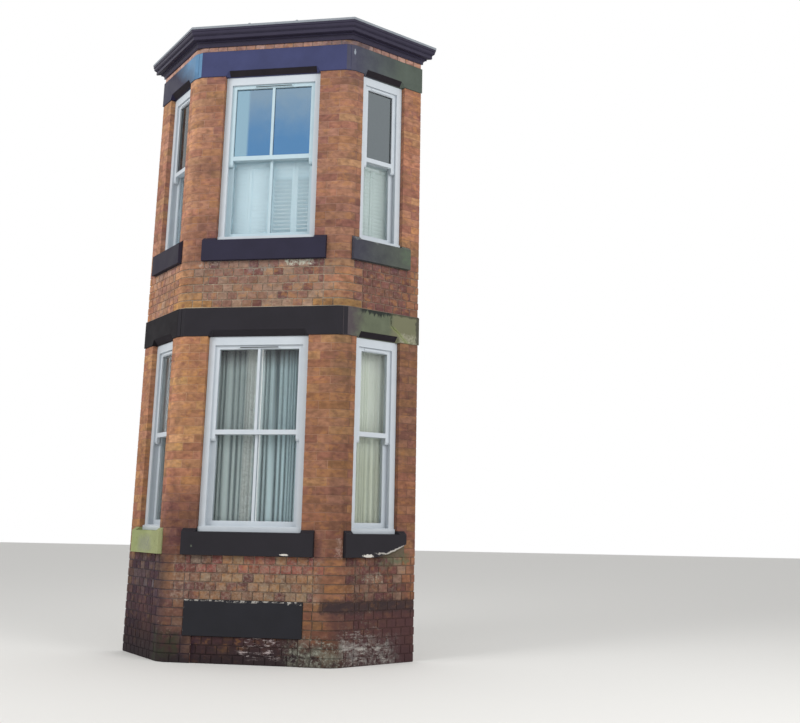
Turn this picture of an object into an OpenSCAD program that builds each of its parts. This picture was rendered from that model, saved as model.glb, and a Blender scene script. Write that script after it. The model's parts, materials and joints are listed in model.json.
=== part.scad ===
// Two-storey canted brick bay, cut off flat at the face of the house wall.
// X runs along the house, the front looks to -Y, Z is up from the ground.
// The origin is the middle of the bounding box on the ground.

/* [Plan] */
// Width of the front between its two corners, as if they were sharp
front_w = 1750; // [1500:10:2050]
// Distance that the front stands out from the house wall
depth = 675; // [550:5:800]
// Thickness of the brick walls
wall_t = 229; // [215:1:343]
// Thickness of the base wall below the ground floor
base_t = 343; // [300:1:450]
// Flat cut on each outer corner of the walls, measured along each face
splay = 55; // [20:1:75]

/* [Heights] */
// Height of one course of brick with its joint
course = 85; // [75:1:90]
// Courses from the ground to the ground floor sills
base_courses = 12; // [10:1:16]
// Courses in a sill
sill_courses = 3; // [2:1:4]
// Courses beside a ground floor window
ground_courses = 23; // [18:1:26]
// Courses beside a first floor window
first_courses = 22; // [18:1:26]
// Courses between the ground floor lintels and the first floor sills
spandrel_courses = 6; // [4:1:8]
// Height of the stone lintels
lintel_h = 300; // [200:5:350]

/* [Openings] */
// Width of the front window openings
front_open = 1080; // [800:10:1150]
// How far the ground floor front window stands to the left of the middle
ground_shift = 25; // [0:1:40]
// How far the first floor front window stands to the left of the middle
first_shift = 5; // [0:1:40]
// Brickwork between a front corner and a side opening
side_start = 168; // [150:2:200]
// Brickwork between a side opening and the house wall, along the face
side_pier = 230.6; // [230:0.2:280]

/* [Sills and lintels] */
// How far a sill stands out from the wall
sill_out = 45; // [20:1:80]
// Fall of a sill's top towards the front
sill_fall = 32; // [10:1:40]
// Fall of the part of that top that lies in front of the window
stool_fall = 3; // [1:1:8]
// How far a front sill runs past its opening
front_stub = 134; // [60:2:160]
// How far a side sill runs past its opening
side_stub = 88; // [60:2:100]
// Width of the drip groove under a sill
drip_w = 14; // [8:1:20]
// Height of the broken corner at the end of the right ground floor sill
break_h = 128; // [110:1:160]
// How far a lintel stands out from the wall
lintel_out = 10; // [2:1:20]
// Height of the sloped cut on a lintel's lower edge
chamfer_h = 62; // [30:1:90]
// Depth of the sloped cut on a lintel's lower edge
chamfer_d = 50; // [20:1:60]
// Length of the sloped stop at each end of that cut
chamfer_stop = 42; // [10:1:80]

/* [Cellar light] */
// Width of the dark stone over the blocked cellar light
panel_w = 1200; // [1100:10:1250]
// Shift of that stone to the left of the middle
panel_shift = 40; // [0:1:100]
// Courses under that stone
panel_low = 3; // [2:1:4]
// Courses in that stone
panel_courses = 4; // [3:1:5]
// Width of the bricked-up cellar light
infill_w = 1080; // [800:10:1100]
// Shift of the blocking to the left of the middle
infill_shift = 12; // [0:1:60]
// How far the blocking is set back from the wall face
infill_back = 12; // [0:1:60]

/* [Windows] */
// Set-back of the window frames from the wall face
frame_back = 54; // [40:1:80]
// Depth of a window frame
frame_d = 134; // [120:1:140]
// Width of a frame's jambs as seen from outside
jamb_w = 66; // [45:1:75]
// Height of a frame's head
head_h = 90; // [50:1:110]
// Height of a frame's wooden sill
stool_h = 28; // [24:1:70]
// How far that wooden sill stands out from its frame
nose_d = 24; // [10:1:40]
// Width of a sash's stiles
stile_w = 57; // [40:1:65]
// Height of an upper sash's top rail
top_rail_h = 52; // [46:1:70]
// Height of the meeting rails
meeting_h = 48; // [30:1:60]
// Height of the meeting rails over the middle between head and wooden sill
meeting_up = 20; // [0:1:60]
// Height of a lower sash's bottom rail
bottom_rail_h = 56; // [50:1:100]
// Width of the glazing bars
bar_w = 28; // [18:1:36]
// Thickness of a sash
sash_t = 42; // [35:1:50]
// Thickness of the glass
glass_t = 6; // [4:1:24]
// Length of the horns under an upper sash
horn_l = 70; // [30:1:100]
// Length of the vent hood on a front window
vent_l = 440; // [200:10:500]
// Length of the vent hood on a side window
side_vent_l = 260; // [100:10:280]
// Thickness of the curtain rods
rod_d = 12; // [8:1:16]

/* [Floors and roof] */
// Height of the ground floor boards above the ground
ground_floor = 680; // [600:5:800]
// Height of the first floor boards above the ground
first_floor = 3650; // [3600:5:3750]
// Thickness of the floor boards
board_t = 25; // [18:1:32]
// Width of a joist
joist_w = 50; // [40:1:75]
// Spacing of the joists
joist_gap = 370; // [300:10:450]
// Thickness of the plaster
plaster_t = 18; // [10:1:25]
// Height of the roof joists
roof_joist_h = 125; // [100:5:175]
// How far the cornice stands out from the wall
cornice_out = 118; // [80:1:160]
// Height of the cornice
cornice_h = 195; // [150:5:260]
// Rise of the lead roof from the cornice to the house wall
roof_rise = 105; // [60:5:160]
// Thickness of the lead
lead_t = 4; // [2:1:6]

/* [Hidden] */
eps = 0.02;
seat = 0.3;
half = front_w / 2;
side_l = depth * sqrt(2);
side_open = side_l - side_start - side_pier;
far = 2 * (half + depth);
tan_h = tan(22.5);
lead_out = cornice_out + lead_t;
mid_y = (depth + lead_out) / 2;

z_sill_g = base_courses * course;
sill_h = sill_courses * course;
z_open_g = z_sill_g + sill_h;
z_lintel_g = z_open_g + ground_courses * course;
z_span = z_lintel_g + lintel_h;
z_sill_f = z_span + spandrel_courses * course;
z_open_f = z_sill_f + sill_h;
z_lintel_f = z_open_f + first_courses * course;
z_head = z_lintel_f + lintel_h;
z_plate = z_head + course;
z_cornice = z_plate - 30;
z_eaves = z_cornice + cornice_h;

panel_z = panel_low * course;
panel_h = panel_courses * course;
ground_joist_h = 150;
first_joist_h = 175;
ledger_h = 50;
ledger_d = 60;
z_ledge = ground_floor - board_t - ground_joist_h;
z_ceil_g = first_floor - board_t - first_joist_h - ledger_h;
side_mid = side_start + side_open / 2;

brick_col = [0.66, 0.40, 0.25];
spandrel_col = [0.58, 0.38, 0.28];
infill_col = [0.42, 0.25, 0.24];
black_stone = [0.17, 0.16, 0.18];
navy_stone = [0.24, 0.25, 0.36];
grey_stone = [0.37, 0.40, 0.40];
buff_stone = [0.52, 0.50, 0.40];
lichen_stone = [0.64, 0.64, 0.42];
frame_col = [0.87, 0.89, 0.91];
glass_col = [0.60, 0.72, 0.80, 0.35];
timber_col = [0.68, 0.54, 0.38];
plaster_col = [0.90, 0.89, 0.86];
lead_col = [0.50, 0.53, 0.57];
cornice_col = [0.22, 0.20, 0.25];
cloth_col = [0.80, 0.80, 0.76];

// Plan points of the bay at a distance o outside its wall face
function corner_x(o) = half + o * tan_h;
function corner_y(o) = -depth - o;
function wall_x(o) = half + depth + o * sqrt(2);
function outline(o) = [
    [-wall_x(o), 0], [-corner_x(o), corner_y(o)], [corner_x(o), corner_y(o)], [wall_x(o), 0]
];
function reversed(list) = [for (i = [len(list) - 1:-1:0]) list[i]];

module placed() {
    translate([0, mid_y, 0]) children();
}

// Cuts off what would run behind the face of the house wall
module cut_at_wall() {
    intersection() {
        children();
        translate([-far, -far, -10]) cube([2 * far, far, 2 * z_eaves]);
    }
}

// Wall band that follows all three faces, from o_out outside to o_in inside
module band(z, h, o_out, o_in) {
    translate([0, 0, z]) linear_extrude(h) polygon(concat(outline(o_out), reversed(outline(o_in))));
}

// The whole floor area inside a distance o
module floor_area(z, h, o) {
    translate([0, 0, z]) linear_extrude(h) polygon(outline(o));
}

// Mitred stretch of wall on one face: -1 left, 0 front, 1 right
module face_part(face, z, h, o_out, o_in) {
    front = [
        [-corner_x(o_out), corner_y(o_out)], [corner_x(o_out), corner_y(o_out)],
        [corner_x(o_in), corner_y(o_in)], [-corner_x(o_in), corner_y(o_in)]
    ];
    right = [
        [corner_x(o_out), corner_y(o_out)], [wall_x(o_out), 0],
        [wall_x(o_in), 0], [corner_x(o_in), corner_y(o_in)]
    ];
    mirror([face < 0 ? 1 : 0, 0, 0])
        translate([0, 0, z]) linear_extrude(h) polygon(face == 0 ? front : right);
}

// Local frame on one face: x along it, y into the wall, from the middle of the opening at height z
module on_face(face, z) {
    if (face == 0) {
        translate([z < z_span ? -ground_shift : -first_shift, -depth, 0]) children();
    } else {
        mirror([face < 0 ? 1 : 0, 0, 0])
            translate([half, -depth, 0]) rotate([0, 0, 45])
                translate([side_mid, 0, 0]) children();
    }
}

function open_w(face) = face == 0 ? front_open : side_open;
function stub(face) = face == 0 ? front_stub : side_stub;

// Stone sill with a sloped top, sunk lower in front of the window, and a drip groove
module sill(face, z) {
    w = open_w(face);
    l = w + 2 * stub(face);
    step = frame_back + 1 + seat;
    cut_at_wall() on_face(face, z) translate([-l / 2, 0, z]) rotate([90, 0, 90]) difference() {
        linear_extrude(l) polygon([
            [-sill_out, 0], [wall_t, 0], [wall_t, sill_h], [0, sill_h], [-sill_out, sill_h - sill_fall]
        ]);
        translate([0, 0, (l - w) / 2]) linear_extrude(w) polygon([
            [-sill_out - 1, sill_h - sill_fall], [-sill_out, sill_h - sill_fall],
            [step, sill_h - sill_fall + stool_fall], [step, sill_h + 1], [-sill_out - 1, sill_h + 1]
        ]);
        translate([-sill_out + 18, 0, 40]) cylinder(h = l - 80, d = drip_w, $fn = 24);
    }
}

// Space that a sill takes in the brickwork
module sill_space(face, z) {
    l = open_w(face) + 2 * stub(face);
    on_face(face, z) translate([-l / 2, -60, z]) cube([l, wall_t + 120, sill_h]);
}

module opening_space(face, z, h) {
    on_face(face, z) translate([-open_w(face) / 2, -60, z]) cube([open_w(face), wall_t + 120, h]);
}

// The two ends of the splayed corner, a distance o outside the wall, seen from the sharp corner
function splay_ends(o) = let (c = splay + o * (tan_h - tan(11.25))) [
    [-c, 0], [c * cos(45), c * sin(45)]
];

// Flat cut down the two outer corners of whatever stands o outside the wall
module splay_cut(z, h, o = 0) {
    ends = splay_ends(o);
    for (side = [0, 1]) mirror([side, 0, 0])
        translate([corner_x(o), corner_y(o), z]) linear_extrude(h)
            polygon([ends[0], [0, -100], [150, -100], ends[1]]);
}

// Four piers of one storey, from the bottom of the sills to the lintels
module piers(z0, z1) {
    difference() {
        band(z0, z1 - z0, 0, -wall_t);
        for (face = [-1, 0, 1]) {
            sill_space(face, z0);
            opening_space(face, z0 + sill_h - eps, z1 - z0);
        }
        splay_cut(z0 - 1, z1 - z0 + 2);
    }
}

// Tool for the sloped cut on a lintel's lower edge, with sloped stops
module chamfer_tool(l) {
    m = 20;
    full_z = chamfer_h * (1 + m / chamfer_d);
    full_d = chamfer_d * (1 + m / chamfer_h);
    tip = chamfer_stop * (m / chamfer_h + m / chamfer_d);
    a = l / 2 - chamfer_stop;
    points = [
        [-l / 2 - tip, -m, -m], [-a, -m, -m], [-a, -m, full_z], [-a, full_d, -m],
        [l / 2 + tip, -m, -m], [a, -m, -m], [a, -m, full_z], [a, full_d, -m]
    ];
    hull() polyhedron(points, [
        [0, 2, 3], [4, 7, 6], [2, 6, 7, 3], [0, 4, 6, 2], [0, 3, 7, 4]
    ]);
}

module lintel(face, z) {
    difference() {
        face_part(face, z, lintel_h, lintel_out, -wall_t);
        on_face(face, z) translate([0, -lintel_out, z]) chamfer_tool(open_w(face));
        splay_cut(z - 1, lintel_h + 2, lintel_out);
    }
}

module base_wall() {
    color(brick_col) difference() {
        union() {
            band(0, z_ledge, 0, -base_t);
            band(z_ledge - eps, z_sill_g - z_ledge + eps, 0, -wall_t);
        }
        translate([-panel_shift - panel_w / 2, -depth - 60, panel_z]) cube([panel_w, wall_t + 60, panel_h]);
        translate([-infill_shift - infill_w / 2, -depth - 60, -1])
            cube([infill_w, base_t + 120, panel_z + 1 + eps]);
        splay_cut(-1, z_sill_g + 2);
    }
}

module cellar_infill() {
    color(infill_col) translate([-infill_shift - infill_w / 2, -depth + infill_back, 0])
        cube([infill_w, base_t - infill_back, panel_z]);
}

module cellar_panel() {
    bevel = 10;
    color(black_stone) translate([-panel_shift, -depth, panel_z]) rotate([90, 0, 90])
        translate([0, 0, -panel_w / 2]) linear_extrude(panel_w) polygon([
            [-8, 0], [wall_t, 0], [wall_t, panel_h], [0, panel_h], [-8, panel_h - bevel]
        ]);
}

module ground_sill_left() color(lichen_stone) sill(-1, z_sill_g);
module ground_sill_front() color(black_stone) sill(0, z_sill_g);

// The lower outer corner of the right sill is broken away as far as the wall face
module ground_sill_right() {
    break_line = [[-380, 0], [-300, 13], [-205, 37], [-115, 70], [-52, 102], [2, break_h]];
    color(black_stone) difference() {
        sill(1, z_sill_g);
        on_face(1, z_sill_g) translate([side_open / 2 + side_stub, 40 - sill_out, z_sill_g]) rotate([90, 0, 0])
            linear_extrude(80) polygon(concat(break_line, [[2, -20], [-380, -20]]));
    }
}

module ground_piers() color(brick_col) piers(z_sill_g, z_lintel_g);
module ground_lintel_left() color(black_stone) lintel(-1, z_lintel_g);
module ground_lintel_front() color(black_stone) lintel(0, z_lintel_g);
module ground_lintel_right() color(buff_stone) lintel(1, z_lintel_g);

module spandrel_wall() {
    color(spandrel_col) difference() {
        band(z_span, z_sill_f - z_span, 0, -wall_t);
        splay_cut(z_span - 1, z_sill_f - z_span + 2);
    }
}

module first_sill_left() color(navy_stone) sill(-1, z_sill_f);
module first_sill_front() color(navy_stone) sill(0, z_sill_f);
module first_sill_right() color(grey_stone) sill(1, z_sill_f);
module first_piers() color(brick_col) piers(z_sill_f, z_lintel_f);
module first_lintel_left() color(navy_stone) lintel(-1, z_lintel_f);
module first_lintel_front() color(navy_stone) lintel(0, z_lintel_f);
module first_lintel_right() color(grey_stone) lintel(1, z_lintel_f);

module head_course() {
    color(brick_col) difference() {
        band(z_head, course, 0, -wall_t);
        splay_cut(z_head - 1, course + 2);
    }
}

// Points of a quarter round between two points of a moulding, hollow or full
function quarter(p, q, hollow, n = 6) = [
    for (i = [0:n]) let (a = 90 * i / n) hollow
        ? [p[0] + (q[0] - p[0]) * (1 - cos(a)), p[1] + (q[1] - p[1]) * sin(a)]
        : [p[0] + (q[0] - p[0]) * sin(a), p[1] + (q[1] - p[1]) * (1 - cos(a))]
];

// Moulded wooden cornice, mitred round the three faces, with a filler over each splayed corner
module cornice() {
    o = cornice_out;
    h = cornice_h;
    run = 2 * (half + side_l);
    profile = concat(
        [[0, 0], [-14, 0], [-14, 16]],
        quarter([-14, 16], [-38, 44], true),
        [[-44, 44], [-44, 60], [-o + 36, 60], [-o + 36, 64], [-o + 30, 64], [-o + 30, 104], [-o + 24, 104]],
        quarter([-o + 24, 110], [-o + 6, 140], false),
        [[-o + 6, 150], [-o, 150], [-o, h], [0, h]]
    );
    ends = splay_ends(seat);
    color(cornice_col) union() {
        for (face = [-1, 0, 1]) intersection() {
            on_face(face, z_cornice) translate([-run / 2, 0, z_cornice]) rotate([90, 0, 90])
                linear_extrude(run) polygon(profile);
            face_part(face, z_cornice - 1, h + 2, o + 20, 0);
        }
        for (side = [0, 1]) mirror([side, 0, 0]) translate([corner_x(seat), corner_y(seat), z_cornice])
            linear_extrude(z_plate - z_cornice) polygon([ends[0], [0, -4], ends[1]]);
    }
}

module roof_joists() {
    n = floor((half + depth) / joist_gap);
    color(timber_col) intersection() {
        for (i = [-n:n]) translate([i * joist_gap - joist_w / 2, -depth, z_plate])
            cube([joist_w, depth, roof_joist_h]);
        floor_area(z_plate - 1, roof_joist_h + 2, -20);
    }
}

// Corner points of the hipped roof surface, raised by dz
function hip_points(o, z, rise, dz) = [
    [-wall_x(o), 0, z + dz], [-corner_x(o), corner_y(o), z + dz],
    [corner_x(o), corner_y(o), z + dz], [wall_x(o), 0, z + dz],
    [half - depth * tan_h, 0, z + rise + dz], [-half + depth * tan_h, 0, z + rise + dz]
];

module hip_solid(o, z, rise, h) {
    low = hip_points(o, z, rise, 0);
    high = hip_points(o, z, rise, h);
    polyhedron(concat(low, high), [
        [0, 1, 5], [1, 2, 4, 5], [2, 3, 4],
        [6, 11, 7], [7, 11, 10, 8], [8, 10, 9],
        [0, 6, 7, 1], [1, 7, 8, 2], [2, 8, 9, 3],
        [3, 9, 10, 4], [4, 10, 11, 5], [5, 11, 6, 0]
    ]);
}

module roof_deck() {
    z0 = z_plate + roof_joist_h;
    o = cornice_out - 6;
    low = hip_points(o, z_eaves, 0, 0);
    top = hip_points(o, z_eaves, roof_rise, 2 - seat);
    color(timber_col) union() {
        floor_area(z0, z_eaves - z0 + eps, -1);
        hull() polyhedron([low[0], low[1], low[2], low[3], top[0], top[1], top[2], top[3], top[4], top[5]], [
            [0, 3, 2, 1], [4, 5, 9], [5, 6, 8, 9], [6, 7, 8],
            [0, 1, 5, 4], [1, 2, 6, 5], [2, 3, 7, 6], [3, 0, 4, 9, 8, 7]
        ]);
    }
}

// Rounded roll of lead over a wooden core between two points
module lead_roll(a, b) {
    v = b - a;
    l = norm(v);
    translate(a) rotate([0, acos(v[2] / l), atan2(v[1], v[0])]) {
        cylinder(h = l, d = 44, $fn = 24);
        sphere(d = 44, $fn = 24);
    }
}

module lead_roof() {
    o = lead_out;
    p = hip_points(o, z_eaves + 2, roof_rise, lead_t);
    drop = 22;
    color(lead_col) intersection() {
        union() {
            hip_solid(o, z_eaves + 2, roof_rise, lead_t);
            band(z_eaves + 2 - drop, drop + lead_t, o, o - lead_t + 0.5);
            intersection() {
                for (s = [-1, 1]) {
                    lead_roll([s * (half + 8), -depth - 20, p[2][2] + 12], [s * p[4][0], 4, p[4][2] + 4]);
                    lead_roll([s * 270, -depth - 88, p[2][2] + 4], [s * 270, 4, p[4][2] + 4]);
                }
                hip_solid(o, z_eaves + 2, roof_rise, 80);
            }
        }
        floor_area(z_eaves - 60, 400, o);
    }
}

// Box frame of one window with two grooves for the sashes, set back in its opening
module window_frame(face, z, h) {
    w = open_w(face) - 6;
    lip = 12;
    on_face(face, z) translate([0, frame_back, z]) difference() {
        translate([-w / 2, 0, 0]) cube([w, frame_d, h]);
        translate([-w / 2 + jamb_w, -1, stool_h]) cube([w - 2 * jamb_w, frame_d + 2, h - stool_h - head_h]);
        translate([-w / 2 + jamb_w - lip, 22, stool_h - 6])
            cube([w - 2 * jamb_w + 2 * lip, 2 * sash_t + 8, h - stool_h - head_h + lip + 6]);
    }
}

// Nose of the wooden sill, which hangs in front of a frame down to the sunk stone
module frame_nose(face, z) {
    w = open_w(face) - 6;
    low = stool_fall - sill_fall + seat;
    on_face(face, z) translate([-w / 2 + 4, frame_back, z]) rotate([90, 0, 90]) linear_extrude(w - 8)
        polygon([[-nose_d, low], [1, low], [1, stool_h - 4], [-nose_d, stool_h - 10]]);
}

module window_frames(faces, z, h) {
    color(frame_col) for (face = faces) union() {
        window_frame(face, z, h);
        frame_nose(face, z);
    }
}

// Rectangular sash with rails, stiles and upright bars; y0 is its place in the depth
module sash(w, h, low, high, bars, y0, horns) {
    translate([-w / 2, y0, 0]) difference() {
        union() {
            cube([w, sash_t, h]);
            if (horns) for (x = [0, w - stile_w]) translate([x, 0, -horn_l])
                rotate([90, 0, 90]) linear_extrude(stile_w) polygon([
                    [0, horn_l + 1], [0, 26], [10, 6], [sash_t - 8, 0], [sash_t, horn_l + 1]
                ]);
        }
        for (i = [0:bars]) {
            clear_w = (w - 2 * stile_w - bars * bar_w) / (bars + 1);
            x = stile_w + i * (clear_w + bar_w);
            translate([x, -1, low]) cube([clear_w, sash_t + 2, h - low - high]);
        }
        translate([stile_w - 8, sash_t / 2 - glass_t / 2, low - 8])
            cube([w - 2 * stile_w + 16, glass_t, h - low - high + 16]);
    }
}

function sash_w(face) = open_w(face) - 6 - 2 * jamb_w + 2 * 12 - 2 * seat;
function clear_h(h) = h - stool_h - head_h;
function upper_h(h) = (clear_h(h) + meeting_h) / 2 + 12 - meeting_up;
function lower_h(h) = (clear_h(h) + meeting_h) / 2 + 6 + meeting_up;

module window_sashes(faces, z, h) {
    color(frame_col) for (face = faces) on_face(face, z) {
        bars = face == 0 ? 1 : 0;
        vent = face == 0 ? vent_l : side_vent_l;
        top = z + stool_h + clear_h(h) + 12 - seat;
        union() {
            translate([0, frame_back, top - upper_h(h)])
                sash(sash_w(face), upper_h(h), meeting_h, top_rail_h, bars, 22 + seat, true);
            translate([-vent / 2, frame_back + 14, top - 44]) cube([vent, 9, 22]);
        }
        translate([0, frame_back, z + stool_h - 6 + seat])
            sash(sash_w(face), lower_h(h), bottom_rail_h, meeting_h, bars, 22 + sash_t + 6, false);
    }
}

module pane(face, y0, z0, low, high, h) {
    w = sash_w(face) - 2 * stile_w + 14;
    translate([-w / 2, y0 + sash_t / 2 - glass_t / 2 + seat / 2, z0 + low - 7])
        cube([w, glass_t - seat, h - low - high + 14]);
}

module panes(z, h) {
    color(glass_col) for (face = [-1, 0, 1]) on_face(face, z) translate([0, frame_back, 0]) {
        top = z + stool_h + clear_h(h) + 12 - seat;
        pane(face, 22 + seat, top - upper_h(h), meeting_h, top_rail_h, upper_h(h));
        pane(face, 22 + sash_t + 6, z + stool_h - 6 + seat, bottom_rail_h, meeting_h, lower_h(h));
    }
}

open_h_g = z_lintel_g - z_open_g;
open_h_f = z_lintel_f - z_open_f;
module ground_front_frame() window_frames([0], z_open_g, open_h_g);
module ground_side_frames() window_frames([-1, 1], z_open_g, open_h_g);
module first_front_frame() window_frames([0], z_open_f, open_h_f);
module first_side_frames() window_frames([-1, 1], z_open_f, open_h_f);
module ground_front_sashes() window_sashes([0], z_open_g, open_h_g);
module ground_side_sashes() window_sashes([-1, 1], z_open_g, open_h_g);
module first_front_sashes() window_sashes([0], z_open_f, open_h_f);
module first_side_sashes() window_sashes([-1, 1], z_open_f, open_h_f);
module ground_glass() panes(z_open_g, open_h_g);
module first_glass() panes(z_open_f, open_h_f);

// Joists from front to back, cut to the shape of the bay
module joists(z, h, o) {
    n = floor((half + depth) / joist_gap);
    intersection() {
        for (i = [-n:n]) translate([i * joist_gap - joist_w / 2, -depth, z]) cube([joist_w, depth, h]);
        floor_area(z - 1, h + 2, o);
    }
}

module ground_floor_joists() color(timber_col) joists(z_ledge, ground_joist_h, -wall_t - 3);

module ground_floor_boards() color(timber_col)
    floor_area(ground_floor - board_t, board_t, -wall_t - seat);

module first_floor_joists() {
    z = z_ceil_g + ledger_h;
    color(timber_col) union() {
        joists(z, first_joist_h, -wall_t - 3);
        band(z_ceil_g, ledger_h + eps, -wall_t, -wall_t - ledger_d);
    }
}

module first_floor_boards() color(timber_col)
    floor_area(first_floor - board_t, board_t, -wall_t - seat);

module ground_ceiling() color(plaster_col) floor_area(z_ceil_g - plaster_t, plaster_t, -wall_t - seat);
module first_ceiling() color(plaster_col) floor_area(z_plate - plaster_t, plaster_t, -wall_t - seat);

module plaster(z0, z1, z_open, h) {
    color(plaster_col) difference() {
        band(z0, z1 - z0, -wall_t, -wall_t - plaster_t);
        for (face = [-1, 0, 1]) opening_space(face, z_open, h);
    }
}

module ground_plaster() plaster(ground_floor, z_ceil_g - plaster_t, z_open_g, open_h_g);
module first_plaster() plaster(first_floor, z_plate - plaster_t, z_open_f, open_h_f);

module window_boards() {
    color(frame_col) for (z = [z_open_g, z_open_f], face = [-1, 0, 1]) cut_at_wall() on_face(face, z) {
        w = open_w(face) - 1;
        y0 = frame_back + frame_d + seat;
        translate([-w / 2, y0, z]) cube([w, wall_t + plaster_t + 38 - y0, board_t]);
    }
}

// Louvred shutters inside the lower half of the first floor windows
module shutter(w, h) {
    t = 24;
    frame = 42;
    pitch = 47;
    n = floor((h - 2 * frame) / pitch);
    step = (h - 2 * frame) / n;
    difference() {
        cube([w, t, h]);
        translate([frame, -1, frame]) cube([w - 2 * frame, t + 2, h - 2 * frame]);
    }
    for (i = [0:n - 1]) translate([frame - 1, t / 2, frame + (i + 0.5) * step])
        rotate([-10, 0, 0]) translate([0, -3, -step * 0.49]) cube([w - 2 * frame + 2, 6, step * 0.98]);
}

module cafe_shutters() {
    h = open_h_f / 2 - board_t - 10;
    y0 = frame_back + frame_d + 4;
    color(frame_col) for (face = [-1, 0, 1]) on_face(face, z_open_f) {
        count = face == 0 ? 4 : 2;
        w = (open_w(face) - 8 - 2 * (count - 1)) / count;
        for (i = [0:count - 1])
            translate([-open_w(face) / 2 + 4 + i * (w + 2), y0, z_open_f + board_t + seat]) shutter(w, h);
    }
}

// Rods across the ground floor reveals, close behind the frames
module curtain_rods() {
    color(frame_col) for (face = [-1, 0, 1]) on_face(face, z_open_g)
        translate([-open_w(face) / 2 + seat, frame_back + frame_d + 17, z_lintel_g - 36])
            rotate([0, 90, 0]) cylinder(h = open_w(face) - 2 * seat, d = rod_d, $fn = 24);
}

// Plain bodies of the net curtains under those rods, two in front and one at each side
module ground_curtains() {
    z0 = z_open_g + board_t + 8;
    z1 = z_lintel_g - 36 - rod_d / 2 - seat;
    color(cloth_col) for (face = [-1, 0, 1]) on_face(face, z_open_g) {
        count = face == 0 ? 2 : 1;
        w = (open_w(face) - 12 - 6 * (count - 1)) / count;
        for (i = [0:count - 1]) translate([-open_w(face) / 2 + 6 + i * (w + 6), frame_back + frame_d + 3, z0])
            cube([w, 27, z1 - z0]);
    }
}

placed() base_wall();
placed() cellar_infill();
placed() cellar_panel();
placed() ground_sill_left();
placed() ground_sill_front();
placed() ground_sill_right();
placed() ground_piers();
placed() ground_lintel_left();
placed() ground_lintel_front();
placed() ground_lintel_right();
placed() spandrel_wall();
placed() first_sill_left();
placed() first_sill_front();
placed() first_sill_right();
placed() first_piers();
placed() first_lintel_left();
placed() first_lintel_front();
placed() first_lintel_right();
placed() head_course();
placed() cornice();
placed() roof_joists();
placed() roof_deck();
placed() lead_roof();
placed() ground_front_frame();
placed() ground_side_frames();
placed() first_front_frame();
placed() first_side_frames();
placed() ground_front_sashes();
placed() ground_side_sashes();
placed() first_front_sashes();
placed() first_side_sashes();
placed() ground_glass();
placed() first_glass();
placed() ground_floor_joists();
placed() ground_floor_boards();
placed() first_floor_joists();
placed() first_floor_boards();
placed() ground_ceiling();
placed() first_ceiling();
placed() ground_plaster();
placed() first_plaster();
placed() window_boards();
placed() cafe_shutters();
placed() curtain_rods();
placed() ground_curtains();
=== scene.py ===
import json
import math
import random

import bmesh
import bpy
from mathutils import Matrix, Vector

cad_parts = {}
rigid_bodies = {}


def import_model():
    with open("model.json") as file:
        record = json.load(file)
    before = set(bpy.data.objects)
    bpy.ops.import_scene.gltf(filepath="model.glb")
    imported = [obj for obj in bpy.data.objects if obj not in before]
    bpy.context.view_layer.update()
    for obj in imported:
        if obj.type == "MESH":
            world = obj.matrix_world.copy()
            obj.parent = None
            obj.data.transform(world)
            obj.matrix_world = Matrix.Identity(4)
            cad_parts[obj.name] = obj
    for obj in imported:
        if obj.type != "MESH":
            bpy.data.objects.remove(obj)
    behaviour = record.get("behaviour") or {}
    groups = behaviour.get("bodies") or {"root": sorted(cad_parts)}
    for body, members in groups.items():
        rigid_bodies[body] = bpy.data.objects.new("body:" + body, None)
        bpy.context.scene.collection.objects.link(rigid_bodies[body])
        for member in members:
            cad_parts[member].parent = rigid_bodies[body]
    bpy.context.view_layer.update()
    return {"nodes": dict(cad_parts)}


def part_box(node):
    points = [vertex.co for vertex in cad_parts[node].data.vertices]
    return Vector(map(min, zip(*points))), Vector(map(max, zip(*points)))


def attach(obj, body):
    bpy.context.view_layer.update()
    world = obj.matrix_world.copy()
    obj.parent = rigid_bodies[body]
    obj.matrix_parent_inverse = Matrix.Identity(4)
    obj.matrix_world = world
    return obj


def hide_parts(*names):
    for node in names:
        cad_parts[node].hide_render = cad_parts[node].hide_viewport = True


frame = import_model()
print("frame loaded,", len(frame["nodes"]), "nodes")

# The bay in plan and height, in metres, as the CAD source has it
bay = {
    "half": 0.875,  # middle to the sharp front corner
    "depth": 0.675,
    "splay": 0.055,  # flat on each corner, along both faces
    "wallY": 0.3985,  # face of the house wall in this frame
    "shave": 0.0004,  # what is laid stops this far short of it
    "course": 0.085,
    "frontOpening": 0.540,  # half of it
    "frontSill": 0.674,
    "groundShift": -0.025,  # middle of the front window, from the middle of the front
    "firstShift": -0.005,
    "sideOpening": (0.168, 0.724),
    "sideSill": (0.080, 0.812),
    "sideEnd": 0.9546,
    "sideFrom": 0.79,  # past this x a face belongs to a side
    "panel": (-0.640, 0.560), "panelCourses": range(3, 7),
    "infill": (-0.552, 0.528), "infillCourses": range(3), "infillBack": 0.012,
}
slant = math.sqrt(0.5)
arris = bay["half"] - bay["splay"]  # middle of the front to the start of the splay


def linear(colour):  # sRGB hex to linear, with alpha 1
    parts = [int(colour[i:i + 2], 16) / 255 for i in (1, 3, 5)]
    return tuple(p / 12.92 if p <= 0.04045 else ((p + 0.055) / 1.055) ** 2.4 for p in parts) + (1.0,)


def fill(tree, node, values):  # by name, or in the order of the sockets in use; a node stands for its first output
    byName = isinstance(values, dict)
    inUse = [socket for socket in node.inputs if socket.enabled]
    for key, value in values.items() if byName else enumerate(values):
        socket = node.inputs[key] if byName else inUse[key]
        if isinstance(value, bpy.types.Node):
            value = next(output for output in value.outputs if output.enabled)
        if isinstance(value, bpy.types.NodeSocket):
            tree.links.new(value, socket)
        else:
            socket.default_value = value


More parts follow.
